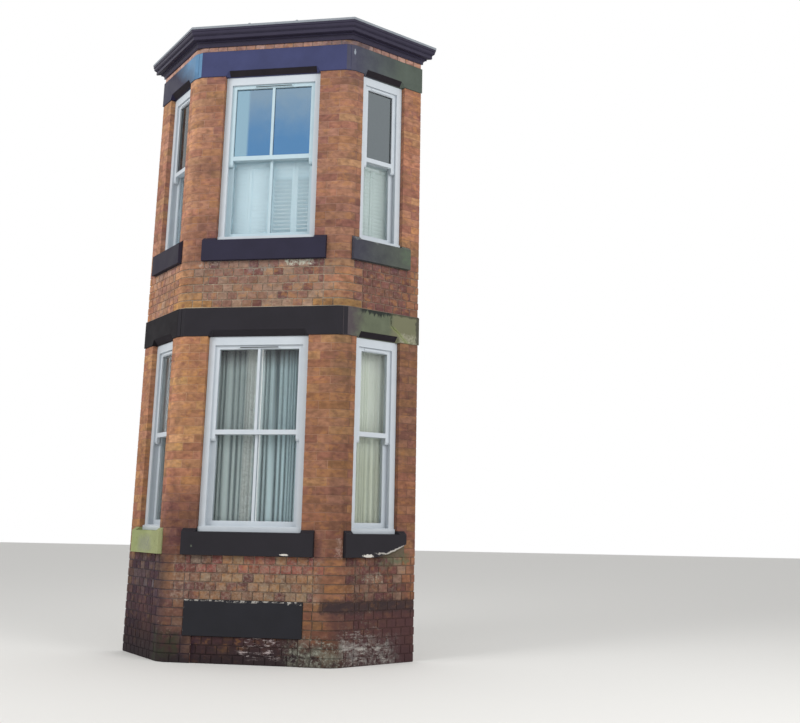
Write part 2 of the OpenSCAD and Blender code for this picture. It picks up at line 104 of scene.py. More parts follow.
# Short names of what is used most, each with its settings
nodeKinds = {
    "mix": ("ShaderNodeMix", {"data_type": "RGBA"}),
    "tint": ("ShaderNodeMix", {"data_type": "RGBA", "blend_type": "MULTIPLY"}),
    "range": ("ShaderNodeMapRange", {}), "noise": ("ShaderNodeTexNoise", {}), "spread": ("ShaderNodeMapping", {}),
    "split": ("ShaderNodeSeparateXYZ", {}), "join": ("ShaderNodeCombineXYZ", {}), "bump": ("ShaderNodeBump", {}),
}
for name in ("add", "subtract", "multiply", "multiply_add", "absolute", "maximum"):
    nodeKinds[name] = ("ShaderNodeMath", {"operation": name.upper()})
for name in ("add", "subtract", "multiply", "cross_product", "dot_product", "length"):
    nodeKinds["vector " + name] = ("ShaderNodeVectorMath", {"operation": name.upper()})


def addNode(tree, kind, values=(), **settings):
    kind, own = nodeKinds.get(kind, (kind, {}))
    made = tree.nodes.new(kind)
    for key, value in {**own, **settings}.items():
        setattr(made, key, value)
    fill(tree, made, values)
    return made


def startMaterial(name):  # the material, its tree and the place on the object
    material = bpy.data.materials.new(name)
    material.use_nodes = True
    tree = material.node_tree
    return material, tree, addNode(tree, "ShaderNodeTexCoord").outputs["Object"]


def facePoint(face, s, out, z):  # face -1 left, 0 front, 1 right; s runs along it
    if face == 0:
        return Vector((s, -bay["depth"] - out + bay["wallY"], z))
    x = bay["half"] + slant * (s + out)
    return Vector((face * x, -bay["depth"] + slant * (s - out) + bay["wallY"], z))


def inwardOf(side):  # from a face into the room
    return Vector((-side * slant, slant, 0)) if side else Vector((0, 1, 0))


# Brick
brickSizes = {
    "header": 0.1125, "deep": 0.102, "commonJoint": 0.010, "pressedJoint": 0.005,
    "arris": (0.010, 0.018, 0.022),  # cut arrises, as shares of length, depth and height
    "quoinArris": 0.0022,
    "quoin": (0.062, 0.168),  # how far a common quoin brick runs one way and the other
    "pressedQuoin": (0.062, 0.175), "pressedBat": 0.050,  # the short and the long one along the front
    "jamb": (0.240, 0.115),  # past the side window, course by course
    "commonPast": 0.06, "pressedPast": 0.03,  # laid past the house wall's face, then cut off there
    "fewest": 1.4, "least": 0.25,  # bricks in a stretch that is laid as one, and that is left to the mortar
    "push": 0.0014, "tilt": 0.006, "seed": 11,
}
# What the kiln gave: pressed facing brick, common brick, and the dark ones of the damp course
brickColours = {
    "pressed": ("#90664F", "#8C624C", "#956B53", "#8A5F4F", "#936954", "#95674F", "#977051", "#895D4C", "#956A4B"),
    "bright": ("#9C6F55", "#986B52", "#A17659", "#996E55", "#93684E", "#A17957", "#986852"),
    "common": ("#8E6959", "#825C52", "#957360", "#75514A", "#9A8270", "#8A6656", "#9B7559", "#907768"),
    "mottled": ("#9A7355", "#8A5C4C", "#A6855F", "#9C8C74", "#70504A", "#A5744E", "#84675A", "#8E7E6B", "#A37F66"),
    "red": ("#8E5048", "#9A5B4D", "#84494A", "#A2695A", "#8C5A50"),
    "purple": ("#6C4843", "#784F48", "#613F40", "#744C46", "#845F53", "#5C3E41", "#7D5348"),
    "yellow": ("#986F49", "#926A47", "#9E764D"),
    "dark": ("#3C3031", "#433638", "#352B2E"),
    "infill": ("#50383B", "#5A4043", "#493437", "#5E4447"),
    "pale": ("#A07C6C", "#967264", "#A98878"),
}
# How far a brick strays from its batch: the range of its shade, and the share of its own hue
brickStray = {"pressed": ((0.86, 1.14), 1.0), "bright": ((0.86, 1.14), 1.0), "others": ((0.88, 1.12), 0.55)}
# Where one kind gives way to another, in metres along a face or up it
brickBounds = {
    "dark": (0.50, 0.59), "darkFrom": 0.73, "baseDressed": 0.80, "red": 0.84,
    "yellow": 3.56, "yellowFrom": 0.55, "spandrelDressed": 0.82, "bright": 3.4, "brightShare": 0.5,
}
brickDraw = random.Random(brickSizes["seed"])


def pickColour(kind):
    hues = [linear(colour) for colour in brickColours[kind]]
    shades, share = brickStray.get(kind, brickStray["others"])
    own = brickDraw.choice(hues)
    shade = brickDraw.uniform(*shades)
    mean = [sum(hue[i] for hue in hues) / len(hues) for i in range(3)]
    return tuple(min(1, (own[i] * share + mean[i] * (1 - share)) * shade) for i in range(3)) + (1.0,)


def newObject(name, mesh):
    made = bpy.data.objects.new(name, mesh)
    bpy.context.scene.collection.objects.link(made)
    return made


def meshFrom(bm, name):
    mesh = bpy.data.meshes.new(name)
    bm.to_mesh(mesh)
    bm.free()
    return mesh


def blockMesh(name, cut):  # unit block with its arrises cut back
    bm = bmesh.new()
    near = [0.5 - c for c in cut]
    for x in (-1, 1):
        for y in (-1, 1):
            for z in (-1, 1):
                bm.verts.new((0.5 * x, near[1] * y, near[2] * z))
                bm.verts.new((near[0] * x, 0.5 * y, near[2] * z))
                bm.verts.new((near[0] * x, near[1] * y, 0.5 * z))
    bmesh.ops.convex_hull(bm, input=bm.verts)
    bmesh.ops.dissolve_limit(bm, angle_limit=0.02, verts=bm.verts, edges=bm.edges)
    return meshFrom(bm, name)


def prismMesh(name, outline, z0, z1, cut):
    bm = bmesh.new()
    face = bm.faces.new([bm.verts.new((x, y, z0)) for x, y in outline])
    raised = bmesh.ops.extrude_face_region(bm, geom=[face])["geom"]
    bmesh.ops.translate(bm, vec=(0, 0, z1 - z0), verts=[g for g in raised if isinstance(g, bmesh.types.BMVert)])
    bmesh.ops.recalc_face_normals(bm, faces=bm.faces)
    bmesh.ops.bevel(bm, geom=bm.edges[:], offset=cut, segments=1, affect="EDGES")
    return meshFrom(bm, name)


brickShapes = bpy.data.collections.new("brickShapes")
shapeIndex = {}


def addShape(key, mesh):
    shapeIndex[key] = len(shapeIndex)
    brickShapes.objects.link(bpy.data.objects.new("shape%02d" % shapeIndex[key], mesh))
    return shapeIndex[key]


def cornerShape(side, front, cant, height, joint):  # quoin brick that turns a splayed corner
    key = (side, round(front, 4), round(cant, 4), height)
    if key in shapeIndex:
        return shapeIndex[key]
    c = bay["splay"]
    d = brickSizes["deep"]
    turn = d * math.tan(math.radians(22.5))
    f = c + front - joint / 2
    s = c + cant - joint / 2
    outline = [(-f, 0), (-c, 0), (c * slant, c * slant), (s * slant, s * slant),
               ((s - d) * slant, (s + d) * slant), (-turn, d), (-f, d)]
    outline = [(side * x, y) for x, y in outline]
    return addShape(key, prismMesh("quoin", outline, joint / 2, joint / 2 + height, brickSizes["quoinArris"]))


def layBrick(laid, face, s0, s1, z, kind, joint, back=0.0, flushStart=False, flushEnd=False):
    a = s0 + (0 if flushStart else joint / 2)
    b = s1 - (0 if flushEnd else joint / 2)
    high = bay["course"] - joint
    deep = brickSizes["deep"]
    centre = facePoint(face, (a + b) / 2, -deep / 2 - back, z + joint / 2 + high / 2)
    laid.append((centre, (0, 0, face * math.pi / 4), (b - a, deep, high), 0, pickColour(kind)))


def layCorner(laid, side, z, front, cant, kind, joint):
    shape = cornerShape(side, front, cant, bay["course"] - joint, joint)
    corner = Vector((side * bay["half"], -bay["depth"] + bay["wallY"], z))
    laid.append((corner, (0, 0, 0), (1, 1, 1), shape, pickColour(kind)))


def cells(start, end, closer, fit):  # header after header, with a bat beside a long quoin brick
    unit = brickSizes["header"]
    bats = (1.0 if fit else 0.5) if closer else 0.0
    units = (end - start) / unit
    if units < brickSizes["fewest"]:
        return [(start, end)] if units > brickSizes["least"] else []
    count = max(1, round(units - bats) if fit else math.ceil(units))
    if fit and units > 6 and count % 2 != (1 if closer else 0):  # so that joints break over each other
        count += 1 if units - bats > count else -1
    if fit:
        unit = (end - start) / (count + bats)
    run = ([0.5] if closer else []) + [1] * count + ([0.5] if closer and fit else [])
    edges = [start]
    for step in run:
        edges.append(edges[-1] + step * unit)
    return list(zip(edges[:-1], edges[1:]))


def layRun(laid, face, start, end, z, closer, kindAt, joint, back=0.0):
    for s0, s1 in cells(start, end, closer, face == 0):
        layBrick(laid, face, s0, s1, z, kindAt((s0 + s1) / 2), joint, back)


def commonWall(laid, base, courses, kindAt, cornerKind):
    joint = brickSizes["commonJoint"]
    for number in range(courses):
        z = base + number * bay["course"]
        odd = number % 2 == 1
        front, cant = brickSizes["quoin"][::-1] if odd else brickSizes["quoin"]
        beside = base == 0 and number in bay["panelCourses"]
        leftFront = arris + bay["panel"][0] if beside and odd else front
        for side in (-1, 1):
            layCorner(laid, side, z, leftFront if side < 0 else front, cant, cornerKind(side, z), joint)
            layRun(laid, side, bay["splay"] + cant, bay["sideEnd"] + brickSizes["commonPast"], z, not odd,
                   lambda s: kindAt(side, s, z), joint)
        ends = [(leftFront - arris, arris - front)]
        if beside:
            ends = [(leftFront - arris, bay["panel"][0]), (bay["panel"][1], arris - front)]
        if base == 0 and number in bay["infillCourses"]:
            ends = [(front - arris, bay["infill"][0]), (bay["infill"][1], arris - front)]
        for start, end in ends:
            layRun(laid, 0, start, end, z, odd, lambda s: kindAt(0, s, z), joint)


def pierWall(laid, base, sillCourses, openCourses, shift):
    joint = brickSizes["pressedJoint"]
    for number in range(sillCourses + openCourses):
        z = base + number * bay["course"]
        odd = number % 2
        beside = number < sillCourses
        near, past = bay["sideSill"] if beside else bay["sideOpening"]
        for side in (-1, 1):
            edge = side * shift + (bay["frontSill"] if beside else bay["frontOpening"])
            front, cant = brickSizes["pressedQuoin"][0], near - bay["splay"] + (0 if beside else joint / 2)
            if beside and odd:
                front = arris - edge
            if not beside and odd:
                front, cant = brickSizes["pressedQuoin"][1], brickSizes["pressedBat"]
            layCorner(laid, side, z, front, cant, cornerTone(side, z), joint)
            if front < arris - edge - 0.01:  # room for a brick between quoin and opening
                ends = sorted((side * edge, side * (arris - front)))
                layBrick(laid, 0, ends[0], ends[1], z, "pressed", joint,
                         flushStart=side > 0 and not beside, flushEnd=side < 0 and not beside)
            if cant == brickSizes["pressedBat"]:
                layBrick(laid, side, bay["splay"] + cant, near, z, "pressed", joint, flushEnd=True)
            cut = past + brickSizes["jamb"][odd]
            layBrick(laid, side, past, cut, z, "pressed", joint, flushStart=not beside)
            if cut < bay["sideEnd"]:
                layBrick(laid, side, cut, bay["sideEnd"] + brickSizes["pressedPast"], z, "pressed", joint)


def cornerTone(side, z):  # the left corner gets the bright kind, as do half of the right one's bricks higher up
    higher = z > brickBounds["bright"]
    return "bright" if side < 0 or higher and brickDraw.random() < brickBounds["brightShare"] else "pressed"


def isDarkCourse(z):
    return brickBounds["dark"][0] < z < brickBounds["dark"][1]


def baseKind(side, s, z):
    below = z < brickBounds["dark"][1]
    if isDarkCourse(z) and (side == 1 or side == 0 and s > brickBounds["darkFrom"]):
        return "dark"
    if side != 0 and s > brickBounds["baseDressed"] and z > brickBounds["dark"][1]:
        return "pressed"
    if side != 0:
        return "purple" if below else brickDraw.choice(("purple", "common"))
    if s > bay["panel"][1] and below:
        return "pressed"
    if z > brickBounds["red"]:
        return brickDraw.choice(("red", "red", "mottled"))
    return brickDraw.choice(("mottled", "mottled", "mottled", "mottled", "purple"))


def baseCorner(side, z):
    return "dark" if side == 1 and isDarkCourse(z) else "pressed"


def spandrelKind(side, s, z):
    if z < brickBounds["yellow"] and abs(s) > brickBounds["yellowFrom"] and side == 0:
        return "yellow"
    if side != 0:
        return "pressed" if s > brickBounds["spandrelDressed"] else ("purple" if side > 0 else "common")
    return brickDraw.choice(("common", "common", "common", "purple"))


def spandrelCorner(side, z):
    return "yellow" if z < brickBounds["yellow"] else "bright"


def setPiecesTree():  # sets each shape on its point, pushed and tilted a little as hands leave it
    tree = bpy.data.node_groups.new("setPieces", "GeometryNodeTree")
    sockets = {}
    for name, kind in (("Geometry", "NodeSocketGeometry"), ("Shapes", "NodeSocketCollection"),
                       ("Finish", "NodeSocketMaterial"), ("Push", "NodeSocketFloat"),
                       ("Tilt", "NodeSocketFloat"), ("Seed", "NodeSocketInt")):
        sockets[name] = tree.interface.new_socket(name, in_out="INPUT", socket_type=kind).identifier
    tree.interface.new_socket("Geometry", in_out="OUTPUT", socket_type="NodeSocketGeometry")
    given = addNode(tree, "NodeGroupInput").outputs
    shapes = addNode(tree, "GeometryNodeCollectionInfo", {
        "Collection": given["Shapes"], "Separate Children": True, "Reset Children": True})
    said = {name: addNode(tree, "GeometryNodeInputNamedAttribute", {"Name": name}, data_type=kind)
            for name, kind in (("shape", "INT"), ("turn", "FLOAT_VECTOR"), ("size", "FLOAT_VECTOR"))}
    rotation = addNode(tree, "FunctionNodeEulerToRotation", {"Euler": said["turn"]})
    laid = addNode(tree, "GeometryNodeInstanceOnPoints", {
        "Points": given["Geometry"], "Instance": shapes, "Pick Instance": True,
        "Instance Index": said["shape"], "Rotation": rotation, "Scale": said["size"]})
    swings = {}
    for name in ("Push", "Tilt"):
        least = addNode(tree, "multiply", (given[name], -1.0))
        swing = addNode(tree, "FunctionNodeRandomValue", {"Seed": given["Seed"]}, data_type="FLOAT")
        low, high = [socket for socket in swing.inputs if socket.enabled][:2]
        tree.links.new(least.outputs[0], low)
        tree.links.new(given[name], high)
        swings[name] = addNode(tree, "join", {"Y": swing})
    moved = addNode(tree, "GeometryNodeTranslateInstances", {
        "Instances": laid, "Translation": swings["Push"], "Local Space": True})
    leaned = addNode(tree, "GeometryNodeRotateInstances", {
        "Instances": moved, "Rotation": swings["Tilt"], "Local Space": True})
    real = addNode(tree, "GeometryNodeRealizeInstances", {"Geometry": leaned})
    done = addNode(tree, "GeometryNodeSetMaterial", {"Geometry": real, "Material": given["Finish"]})
    addNode(tree, "NodeGroupOutput", {"Geometry": done})
    return tree, sockets


def freeze(piece):  # the evaluated shape becomes a plain mesh
    graph = bpy.context.evaluated_depsgraph_get()
    mesh = bpy.data.meshes.new_from_object(
        piece.evaluated_get(graph), preserve_all_data_layers=True, depsgraph=graph)
    piece.modifiers.clear()
    piece.data = mesh


def cutOff(bm, at, facing):  # what lies past the plane goes, and the cut is closed
    cut = bmesh.ops.bisect_plane(
        bm, geom=bm.verts[:] + bm.edges[:] + bm.faces[:], plane_co=at, plane_no=facing, clear_outer=True)
    rim = [g for g in cut["geom_cut"] if isinstance(g, bmesh.types.BMEdge)]
    if rim:
        bmesh.ops.edgeloop_fill(bm, edges=rim)
        bmesh.ops.recalc_face_normals(bm, faces=bm.faces)


def cutAtWall(piece):  # nothing runs behind the face of the house wall
    bm = bmesh.new()
    bm.from_mesh(piece.data)
    cutOff(bm, (0, bay["wallY"] - bay["shave"], 0), (0, 1, 0))
    bm.to_mesh(piece.data)
    bm.free()


def laidObject(name, laid, shapes, finish, seed, push=0.0, tilt=0.0):  # place, turn, size, shape and at times colour
    mesh = bpy.data.meshes.new(name)
    mesh.from_pydata([tuple(item[0]) for item in laid], [], [])
    layers = (("turn", "FLOAT_VECTOR", "vector"), ("size", "FLOAT_VECTOR", "vector"), ("shape", "INT", "value"),
              ("brickColour", "FLOAT_COLOR", "color"))[:len(laid[0]) - 1]
    for key, kind, field in layers:
        mesh.attributes.new(key, kind, "POINT")
    for column, (key, kind, field) in enumerate(layers):
        for point, item in zip(mesh.attributes[key].data, laid):
            setattr(point, field, item[column + 1])
    piece = newObject(name, mesh)
    modifier = piece.modifiers.new("setPieces", "NODES")
    modifier.node_group = setTree
    for key, value in (("Shapes", shapes), ("Finish", finish), ("Push", push), ("Tilt", tilt), ("Seed", seed)):
        modifier[setSockets[key]] = value
    freeze(piece)
    cutAtWall(piece)
    for key in ("turn", "size", "shape"):
        if key in piece.data.attributes:
            piece.data.attributes.remove(piece.data.attributes[key])
    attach(piece, "root")
    return piece


# Copies of CAD nodes
def cadCopy(node, whole):  # joined faces instead of loose triangles
    bm = bmesh.new()
    bm.from_mesh(frame["nodes"][node].data)
    bmesh.ops.remove_doubles(bm, verts=bm.verts, dist=0.00004)
    if whole:
        bmesh.ops.dissolve_limit(bm, angle_limit=0.01, verts=bm.verts, edges=bm.edges)
    else:  # a face with a hole stays in parts
        bmesh.ops.join_triangles(bm, faces=bm.faces, angle_face_threshold=0.01, angle_shape_threshold=3.0)
    return bm


def isHouseFace(normal, at):  # the flat cut at the house wall
    return normal.y > 0.98 and at.y > bay["wallY"] - 0.01


def isJointFace(face):  # outer faces and reveals of a wall, where the joints are raked back
    at = face.calc_center_median()
    if abs(face.normal.z) > 0.5 or isHouseFace(face.normal, at):
        return False
    side = 0 if abs(at.x) < bay["sideFrom"] else (1 if at.x > 0 else -1)
    inward = face.normal.dot(inwardOf(side))
    isRoomFace = inward > 0.6
    isBaseReveal = abs(inward) < 0.2 and at.z < 1.0
    return not isRoomFace and not isBaseReveal


def solveMove(pulls):  # the shift that takes each face back by its own amount
    total = Matrix(((1e-6, 0, 0), (0, 1e-6, 0), (0, 0, 1e-6)))
    side = Vector((0, 0, 0))
    for normal, amount in pulls:
        for i in range(3):
            for j in range(3):
                total[i][j] += normal[i] * normal[j]
            side[i] += normal[i] * amount
    return total.inverted() @ side


def rakedCore(node, name, rake, finishes):  # the wall behind its bricks, which shows in the joints
    bm = cadCopy(node, True)
    bm.normal_update()
    moves = {}
    for vert in bm.verts:
        pull = {}
        for face in vert.link_faces:
            key = tuple(round(c, 2) for c in face.normal)
            pull[key] = (face.normal.copy(), -rake if isJointFace(face) else 0.0)
        moves[vert] = solveMove(list(pull.values()))
    for face in bm.faces:
        face.material_index = 0 if isJointFace(face) else 1
    for vert, move in moves.items():
        vert.co += move
    core = newObject(name, meshFrom(bm, name))
    for finish in finishes:
        core.data.materials.append(finish)
    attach(core, "root")
    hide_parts(node)
    return core


def softEdged(node, name, width, finish, whole=True):  # a CAD node with its arrises eased
    made = newObject(name, meshFrom(cadCopy(node, whole), name))
    made.data.materials.clear()
    made.data.materials.append(finish)
    bevel = made.modifiers.new("ease", "BEVEL")
    bevel.width = width
    bevel.segments = 2
    bevel.limit_method = "ANGLE"
    bevel.angle_limit = math.radians(20)
    bevel.harden_normals = False
    freeze(made)
    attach(made, "root")
    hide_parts(node)
    return made


# Finishes. Inputs stand in the node's own order: a noise has place, scale, detail and roughness, a range has value,
# from, to, least and most, and a mix has share, under and over. A look's bump is its strength and its depth in metres
def zone(tree, split, x, z, soft):  # 1 inside a stretch of x and z, falling to 0 over soft
    shares = []
    for axis, (low, high) in (("X", x), ("Z", z)):
        off = addNode(tree, "subtract", (split.outputs[axis], (low + high) / 2))
        far = addNode(tree, "absolute", (off,))
        half = (high - low) / 2
        shares.append(addNode(tree, "range", (far, half, half + soft, 1.0, 0.0)))
    return addNode(tree, "multiply", shares)


def stain(tree, under, grain, low, high, colour, most, where=None):  # shows as the grain goes from low to high
    share = addNode(tree, "range", (grain, low, high, 0.0, most))
    if where:
        share = addNode(tree, "multiply", (share, where))
    return addNode(tree, "mix", (share, under, linear(colour)))


def toned(tree, body, grain, low, high, least, most):  # lighter and darker as the grain goes
    tone = addNode(tree, "range", (grain, low, high, least, most))
    return addNode(tree, "tint", (1.0, body, tone))


def coat(tree, body, look, relief=None):  # colour, the shader's own numbers, and a bump where the look has one
    given = {"Base Color": body, **look["shader"]}
    if "bump" in look:
        strength, distance = look["bump"]
        given["Normal"] = addNode(tree, "bump", {"Strength": strength, "Distance": distance, "Height": relief})
    fill(tree, tree.nodes["Principled BSDF"], given)


raggedness = {
    "push": (12.0, 5.0, 0.7),  # waves of 80 mm
    "chipsAndGlints": (34.0, 8.0, 0.8), "chipSpan": (0.3, 0.7, 0.6, -0.6), "chipEdge": (1.08, 0.92),  # 30 mm
}


def shaken(tree, place, size):  # the place pushed about, so that what has edges there has ragged ones
    push = addNode(tree, "noise", (place, *raggedness["push"]))
    off = addNode(tree, "vector subtract", (push.outputs["Color"], (0.5, 0.5, 0.5)))
    off = addNode(tree, "vector multiply", (off, (size, size, size)))
    moved = addNode(tree, "vector add", (place, off))
    return addNode(tree, "split", (moved,))


def addChipsAndGlints(tree, place, body, chipsAndGlints):  # knocked-off flakes and painted glints, ragged ovals: middle, how quickly each ends, colour
    grain = addNode(tree, "noise", (place, *raggedness["chipsAndGlints"]))
    ragged = addNode(tree, "range", (grain, *raggedness["chipSpan"]))
    for at, reach, colour in chipsAndGlints:
        away = addNode(tree, "vector subtract", (place, at))
        away = addNode(tree, "vector multiply", (away, reach))
        off = addNode(tree, "vector length", (away,))
        off = addNode(tree, "add", (off, ragged))
        body = stain(tree, body, off, *raggedness["chipEdge"], colour, 1.0)
    return body


# What weather left on brick and joint alike, with painted shade low down
weatherAndShade = {
    "cloud": (2.3, 6.0, 0.65), "clouds": (0.50, 0.75, "#6E4A3E", 0.35),  # patches of 430 mm
    "grains": {"fine": (34.0, 7.0, 0.8), "blots": (13.0, 6.0, 0.7), "flakes": (9.0, 7.0, 0.8)},  # 30, 80 and 110 mm
    "flakesFlat": (1.0, 1.0, 4.0),
    "ragged": 0.16,
    "darker": ((0.05, 1.05, 0.50, 0.90), (1.0, 3.4, 0.0, 0.10)),  # two ranges of height, added: darker towards the bottom, partly dirt and partly painted shade
    # dark at the very foot: soil splashed up, and painted shade where the wall meets the ground
    "foot": (0.0, 0.34, 0.45, 0.0), "soilAndShade": (0.62, 0.95, "#2C2528", 0.85),
    # damp and soot under the dark course, its near edge leaning out as it falls
    "damp": {"lean": 0.35, "x": (0.92, 1.02, 0.0, 0.8), "z": (0.50, 0.54, 1.0, 0.0), "colour": "#4A3335",
             "patchy": (0.25, 0.6, 0.45, 1.0)},
}
# Lighter or darker than what is beside it, partly the brick's own tone and partly painted light and shade: x and z
# covered, soft edge, and what the colour is times by
wallToneAndPaintedLight = (
    ((-1.60, -0.93), (1.30, 6.60), 0.10, (1.44, 1.46, 1.44)),  # left side, lighter: painted light, as under open sky
    ((-0.93, -0.80), (1.90, 3.50), 0.05, (1.18, 1.22, 1.20)),  # left corner
    ((-0.93, -0.80), (4.00, 6.60), 0.05, (1.12, 1.16, 1.14)),
    ((-0.80, -0.50), (1.75, 3.50), 0.08, (1.20, 1.24, 1.14)),  # front, left of the window
    ((-0.93, -0.50), (0.96, 1.50), 0.20, (0.64, 0.64, 0.78)),
    ((0.80, 0.93), (1.00, 3.50), 0.03, (0.82, 0.84, 0.86)),  # right corner
    ((0.93, 1.02), (1.00, 3.50), 0.02, (0.88, 0.88, 0.88)),
    ((1.30, 1.60), (2.20, 3.50), 0.15, (0.72, 0.74, 0.82)),  # right side, by the house wall
    ((0.55, 1.00), (1.00, 1.55), 0.12, (0.84, 0.82, 0.86)),  # below the windows, darker
    ((1.30, 1.60), (1.10, 1.90), 0.12, (0.90, 0.88, 0.88)),
    ((0.55, 1.05), (4.00, 4.60), 0.12, (0.84, 0.82, 0.86)),
    ((-0.93, -0.50), (4.00, 4.50), 0.12, (0.84, 0.82, 0.86)),
    ((1.36, 1.60), (4.40, 6.60), 0.05, (1.22, 1.18, 1.12)),  # upstairs
    ((0.60, 1.02), (6.25, 6.50), 0.05, (0.68, 0.76, 0.86)),
    ((0.93, 1.02), (5.60, 6.20), 0.08, (1.04, 1.05, 1.06)),
    ((-1.60, -0.95), (0.0, 0.95), 0.12, (0.60, 0.68, 0.98)),  # base, left side in the shade
    ((-0.95, -0.65), (0.0, 0.75), 0.12, (0.74, 0.78, 1.0)),
    ((0.97, 1.36), (0.62, 1.0), 0.05, (0.80, 0.76, 0.82)),
    ((0.60, 1.00), (3.53, 3.62), 0.03, (0.82, 0.86, 0.90)),
    ((-2.0, 2.0), (4.00, 6.60), 0.05, (0.96, 0.99, 1.10)),
    ((0.80, 1.02), (6.05, 6.50), 0.08, (0.82, 0.88, 0.95)),
    ((0.80, 0.93), (2.90, 3.50), 0.15, (0.88, 0.92, 0.92)),
    ((-0.93, -0.80), (0.96, 1.95), 0.15, (0.90, 0.88, 0.95)),
    ((-0.90, 2.0), (3.56, 4.02), 0.05, (0.94, 0.97, 0.97)),  # spandrel
    ((-1.60, -0.90), (0.30, 1.0), 0.10, (0.80, 0.86, 0.88)),  # the foot, darker towards the ground: painted shade, with some dirt
    ((-1.60, -0.80), (-0.30, 0.22), 0.22, (0.50, 0.50, 0.56)),
    ((-2.0, 2.0), (-0.10, 0.03), 0.07, (0.55, 0.52, 0.55)),
    ((-0.76, -0.53), (-0.10, 0.27), 0.03, (0.60, 0.56, 0.74)),
)
# Marks: x, z, soft edge, which grain, from and to, colour, most
wallMarks = (
    ((-0.76, 0.70), (0.60, 1.00), 0.04, "fine", 0.46, 0.60, "#9E8D7E", 0.50),  # lime bloom on common brick
    ((0.95, 1.36), (0.62, 0.98), 0.05, "fine", 0.50, 0.64, "#98826F", 0.40),
    ((-0.82, 0.82), (3.60, 4.04), 0.03, "fine", 0.48, 0.64, "#9C877A", 0.42),
    ((0.95, 1.40), (3.60, 4.04), 0.03, "fine", 0.50, 0.66, "#A08D80", 0.40),
    ((-0.82, 0.70), (0.60, 1.02), 0.03, "blots", 0.54, 0.64, "#5E4238", 0.45),  # soot caught in it
    ((-0.90, 1.40), (3.56, 4.04), 0.03, "blots", 0.54, 0.66, "#5E453C", 0.35),
    ((0.72, 1.7), (0.505, 0.60), 0.03, "blots", 0.2, 0.5, "#3C3031", 0.75),  # soot on the dark course
    ((1.28, 1.47), (0.96, 1.04), 0.04, "blots", 0.38, 0.58, "#5F6B52", 0.7),  # moss where the broken sill drips
    ((1.02, 1.40), (0.66, 0.98), 0.08, "blots", 0.52, 0.66, "#686658", 0.50),
    ((1.12, 1.24), (0.79, 0.85), 0.03, "fine", 0.46, 0.62, "#A9A595", 0.65),
    ((-0.95, -0.70), (0.02, 0.26), 0.06, "blots", 0.4, 0.6, "#34382A", 0.7),
    ((-0.90, -0.66), (0.26, 0.75), 0.06, "fine", 0.55, 0.66, "#A08C80", 0.4),
    ((0.47, 0.92), (0.02, 0.18), 0.10, "blots", 0.44, 0.60, "#75766A", 0.6),
    ((0.44, 0.90), (0.02, 0.22), 0.10, "fine", 0.52, 0.64, "#AAADA0", 0.65),
    ((-0.82, -0.72), (1.14, 1.27), 0.04, "blots", 0.25, 0.55, "#52323A", 0.65),  # damp beside the black sills
    ((0.65, 0.72), (1.02, 1.26), 0.04, "blots", 0.30, 0.60, "#5C3C40", 0.6),
    ((0.885, 0.920), (1.02, 1.19), 0.012, "fine", 0.46, 0.62, "#B09A8E", 0.6),
    ((1.38, 1.46), (1.17, 1.30), 0.02, "blots", 0.35, 0.6, "#5E3E4A", 0.6),
    ((0.98, 1.34), (0.0, 0.19), 0.11, "blots", 0.46, 0.60, "#7F7C79", 0.6),  # limewash flaking off
    ((0.98, 1.34), (0.0, 0.20), 0.10, "fine", 0.54, 0.66, "#ABA7A0", 0.7),
    ((0.96, 1.25), (0.16, 0.19), 0.015, "flakes", 0.46, 0.56, "#B4B0AA", 0.7),
    ((0.94, 1.22), (0.25, 0.31), 0.05, "flakes", 0.54, 0.62, "#A9A59F", 0.65),
    ((1.04, 1.32), (0.06, 0.14), 0.05, "flakes", 0.52, 0.60, "#B2AEA8", 0.7),
    ((0.96, 1.18), (0.28, 0.48), 0.09, "fine", 0.56, 0.68, "#858779", 0.55),
    ((-0.04, 0.30), (0.10, 0.24), 0.07, "flakes", 0.54, 0.61, "#BCAFAE", 0.85),
    ((-0.72, 0.72), (3.86, 4.05), 0.07, "blots", 0.52, 0.64, "#8A7B6E", 0.45),  # salts below the upper sill
    ((0.24, 0.53), (3.985, 4.05), 0.012, "fine", 0.44, 0.56, "#C4C8B8", 0.8),
    ((-0.68, -0.50), (3.985, 4.05), 0.02, "fine", 0.46, 0.60, "#B3A297", 0.6),
    ((-0.16, 0.12), (3.91, 3.96), 0.02, "blots", 0.46, 0.58, "#979B94", 0.5),
)


def weatherAndPaintedLight(tree, place, body):  # body is the clean colour of brick or mortar; weather marks and painted light and shade go over it
    split = addNode(tree, "split", (place,))
    x, z = split.outputs["X"], split.outputs["Z"]
    cloud = addNode(tree, "noise", (place, *weatherAndShade["cloud"]))
    flat = addNode(tree, "spread", {"Vector": place, "Scale": weatherAndShade["flakesFlat"]})
    grains = {name: addNode(tree, "noise", (flat if name == "flakes" else place, *grain))
              for name, grain in weatherAndShade["grains"].items()}
    darker = [addNode(tree, "range", (z, *span)) for span in weatherAndShade["darker"]]
    tone = addNode(tree, "add", darker)
    colour = addNode(tree, "tint", (1.0, body, tone))
    for across, up, soft, factor in wallToneAndPaintedLight:
        colour = addNode(tree, "tint", (zone(tree, split, across, up, soft), colour, factor + (1.0,)))
    colour = stain(tree, colour, cloud, *weatherAndShade["clouds"])
    foot = addNode(tree, "range", (z, *weatherAndShade["foot"]))
    foot = addNode(tree, "add", (foot, cloud))
    colour = stain(tree, colour, foot, *weatherAndShade["soilAndShade"])
    damp = weatherAndShade["damp"]
    lean = addNode(tree, "multiply_add", (z, damp["lean"], x))
    share = 1.0
    for value, span in ((lean, damp["x"]), (z, damp["z"]), (cloud, damp["patchy"])):
        share = addNode(tree, "multiply", (share, addNode(tree, "range", (value, *span))))
    colour = addNode(tree, "mix", (share, colour, linear(damp["colour"])))
    loose = shaken(tree, place, weatherAndShade["ragged"])
    for across, up, soft, grain, low, high, mark, most in wallMarks:
        colour = stain(tree, colour, grains[grain], low, high, mark, most, zone(tree, loose, across, up, soft))
    return colour


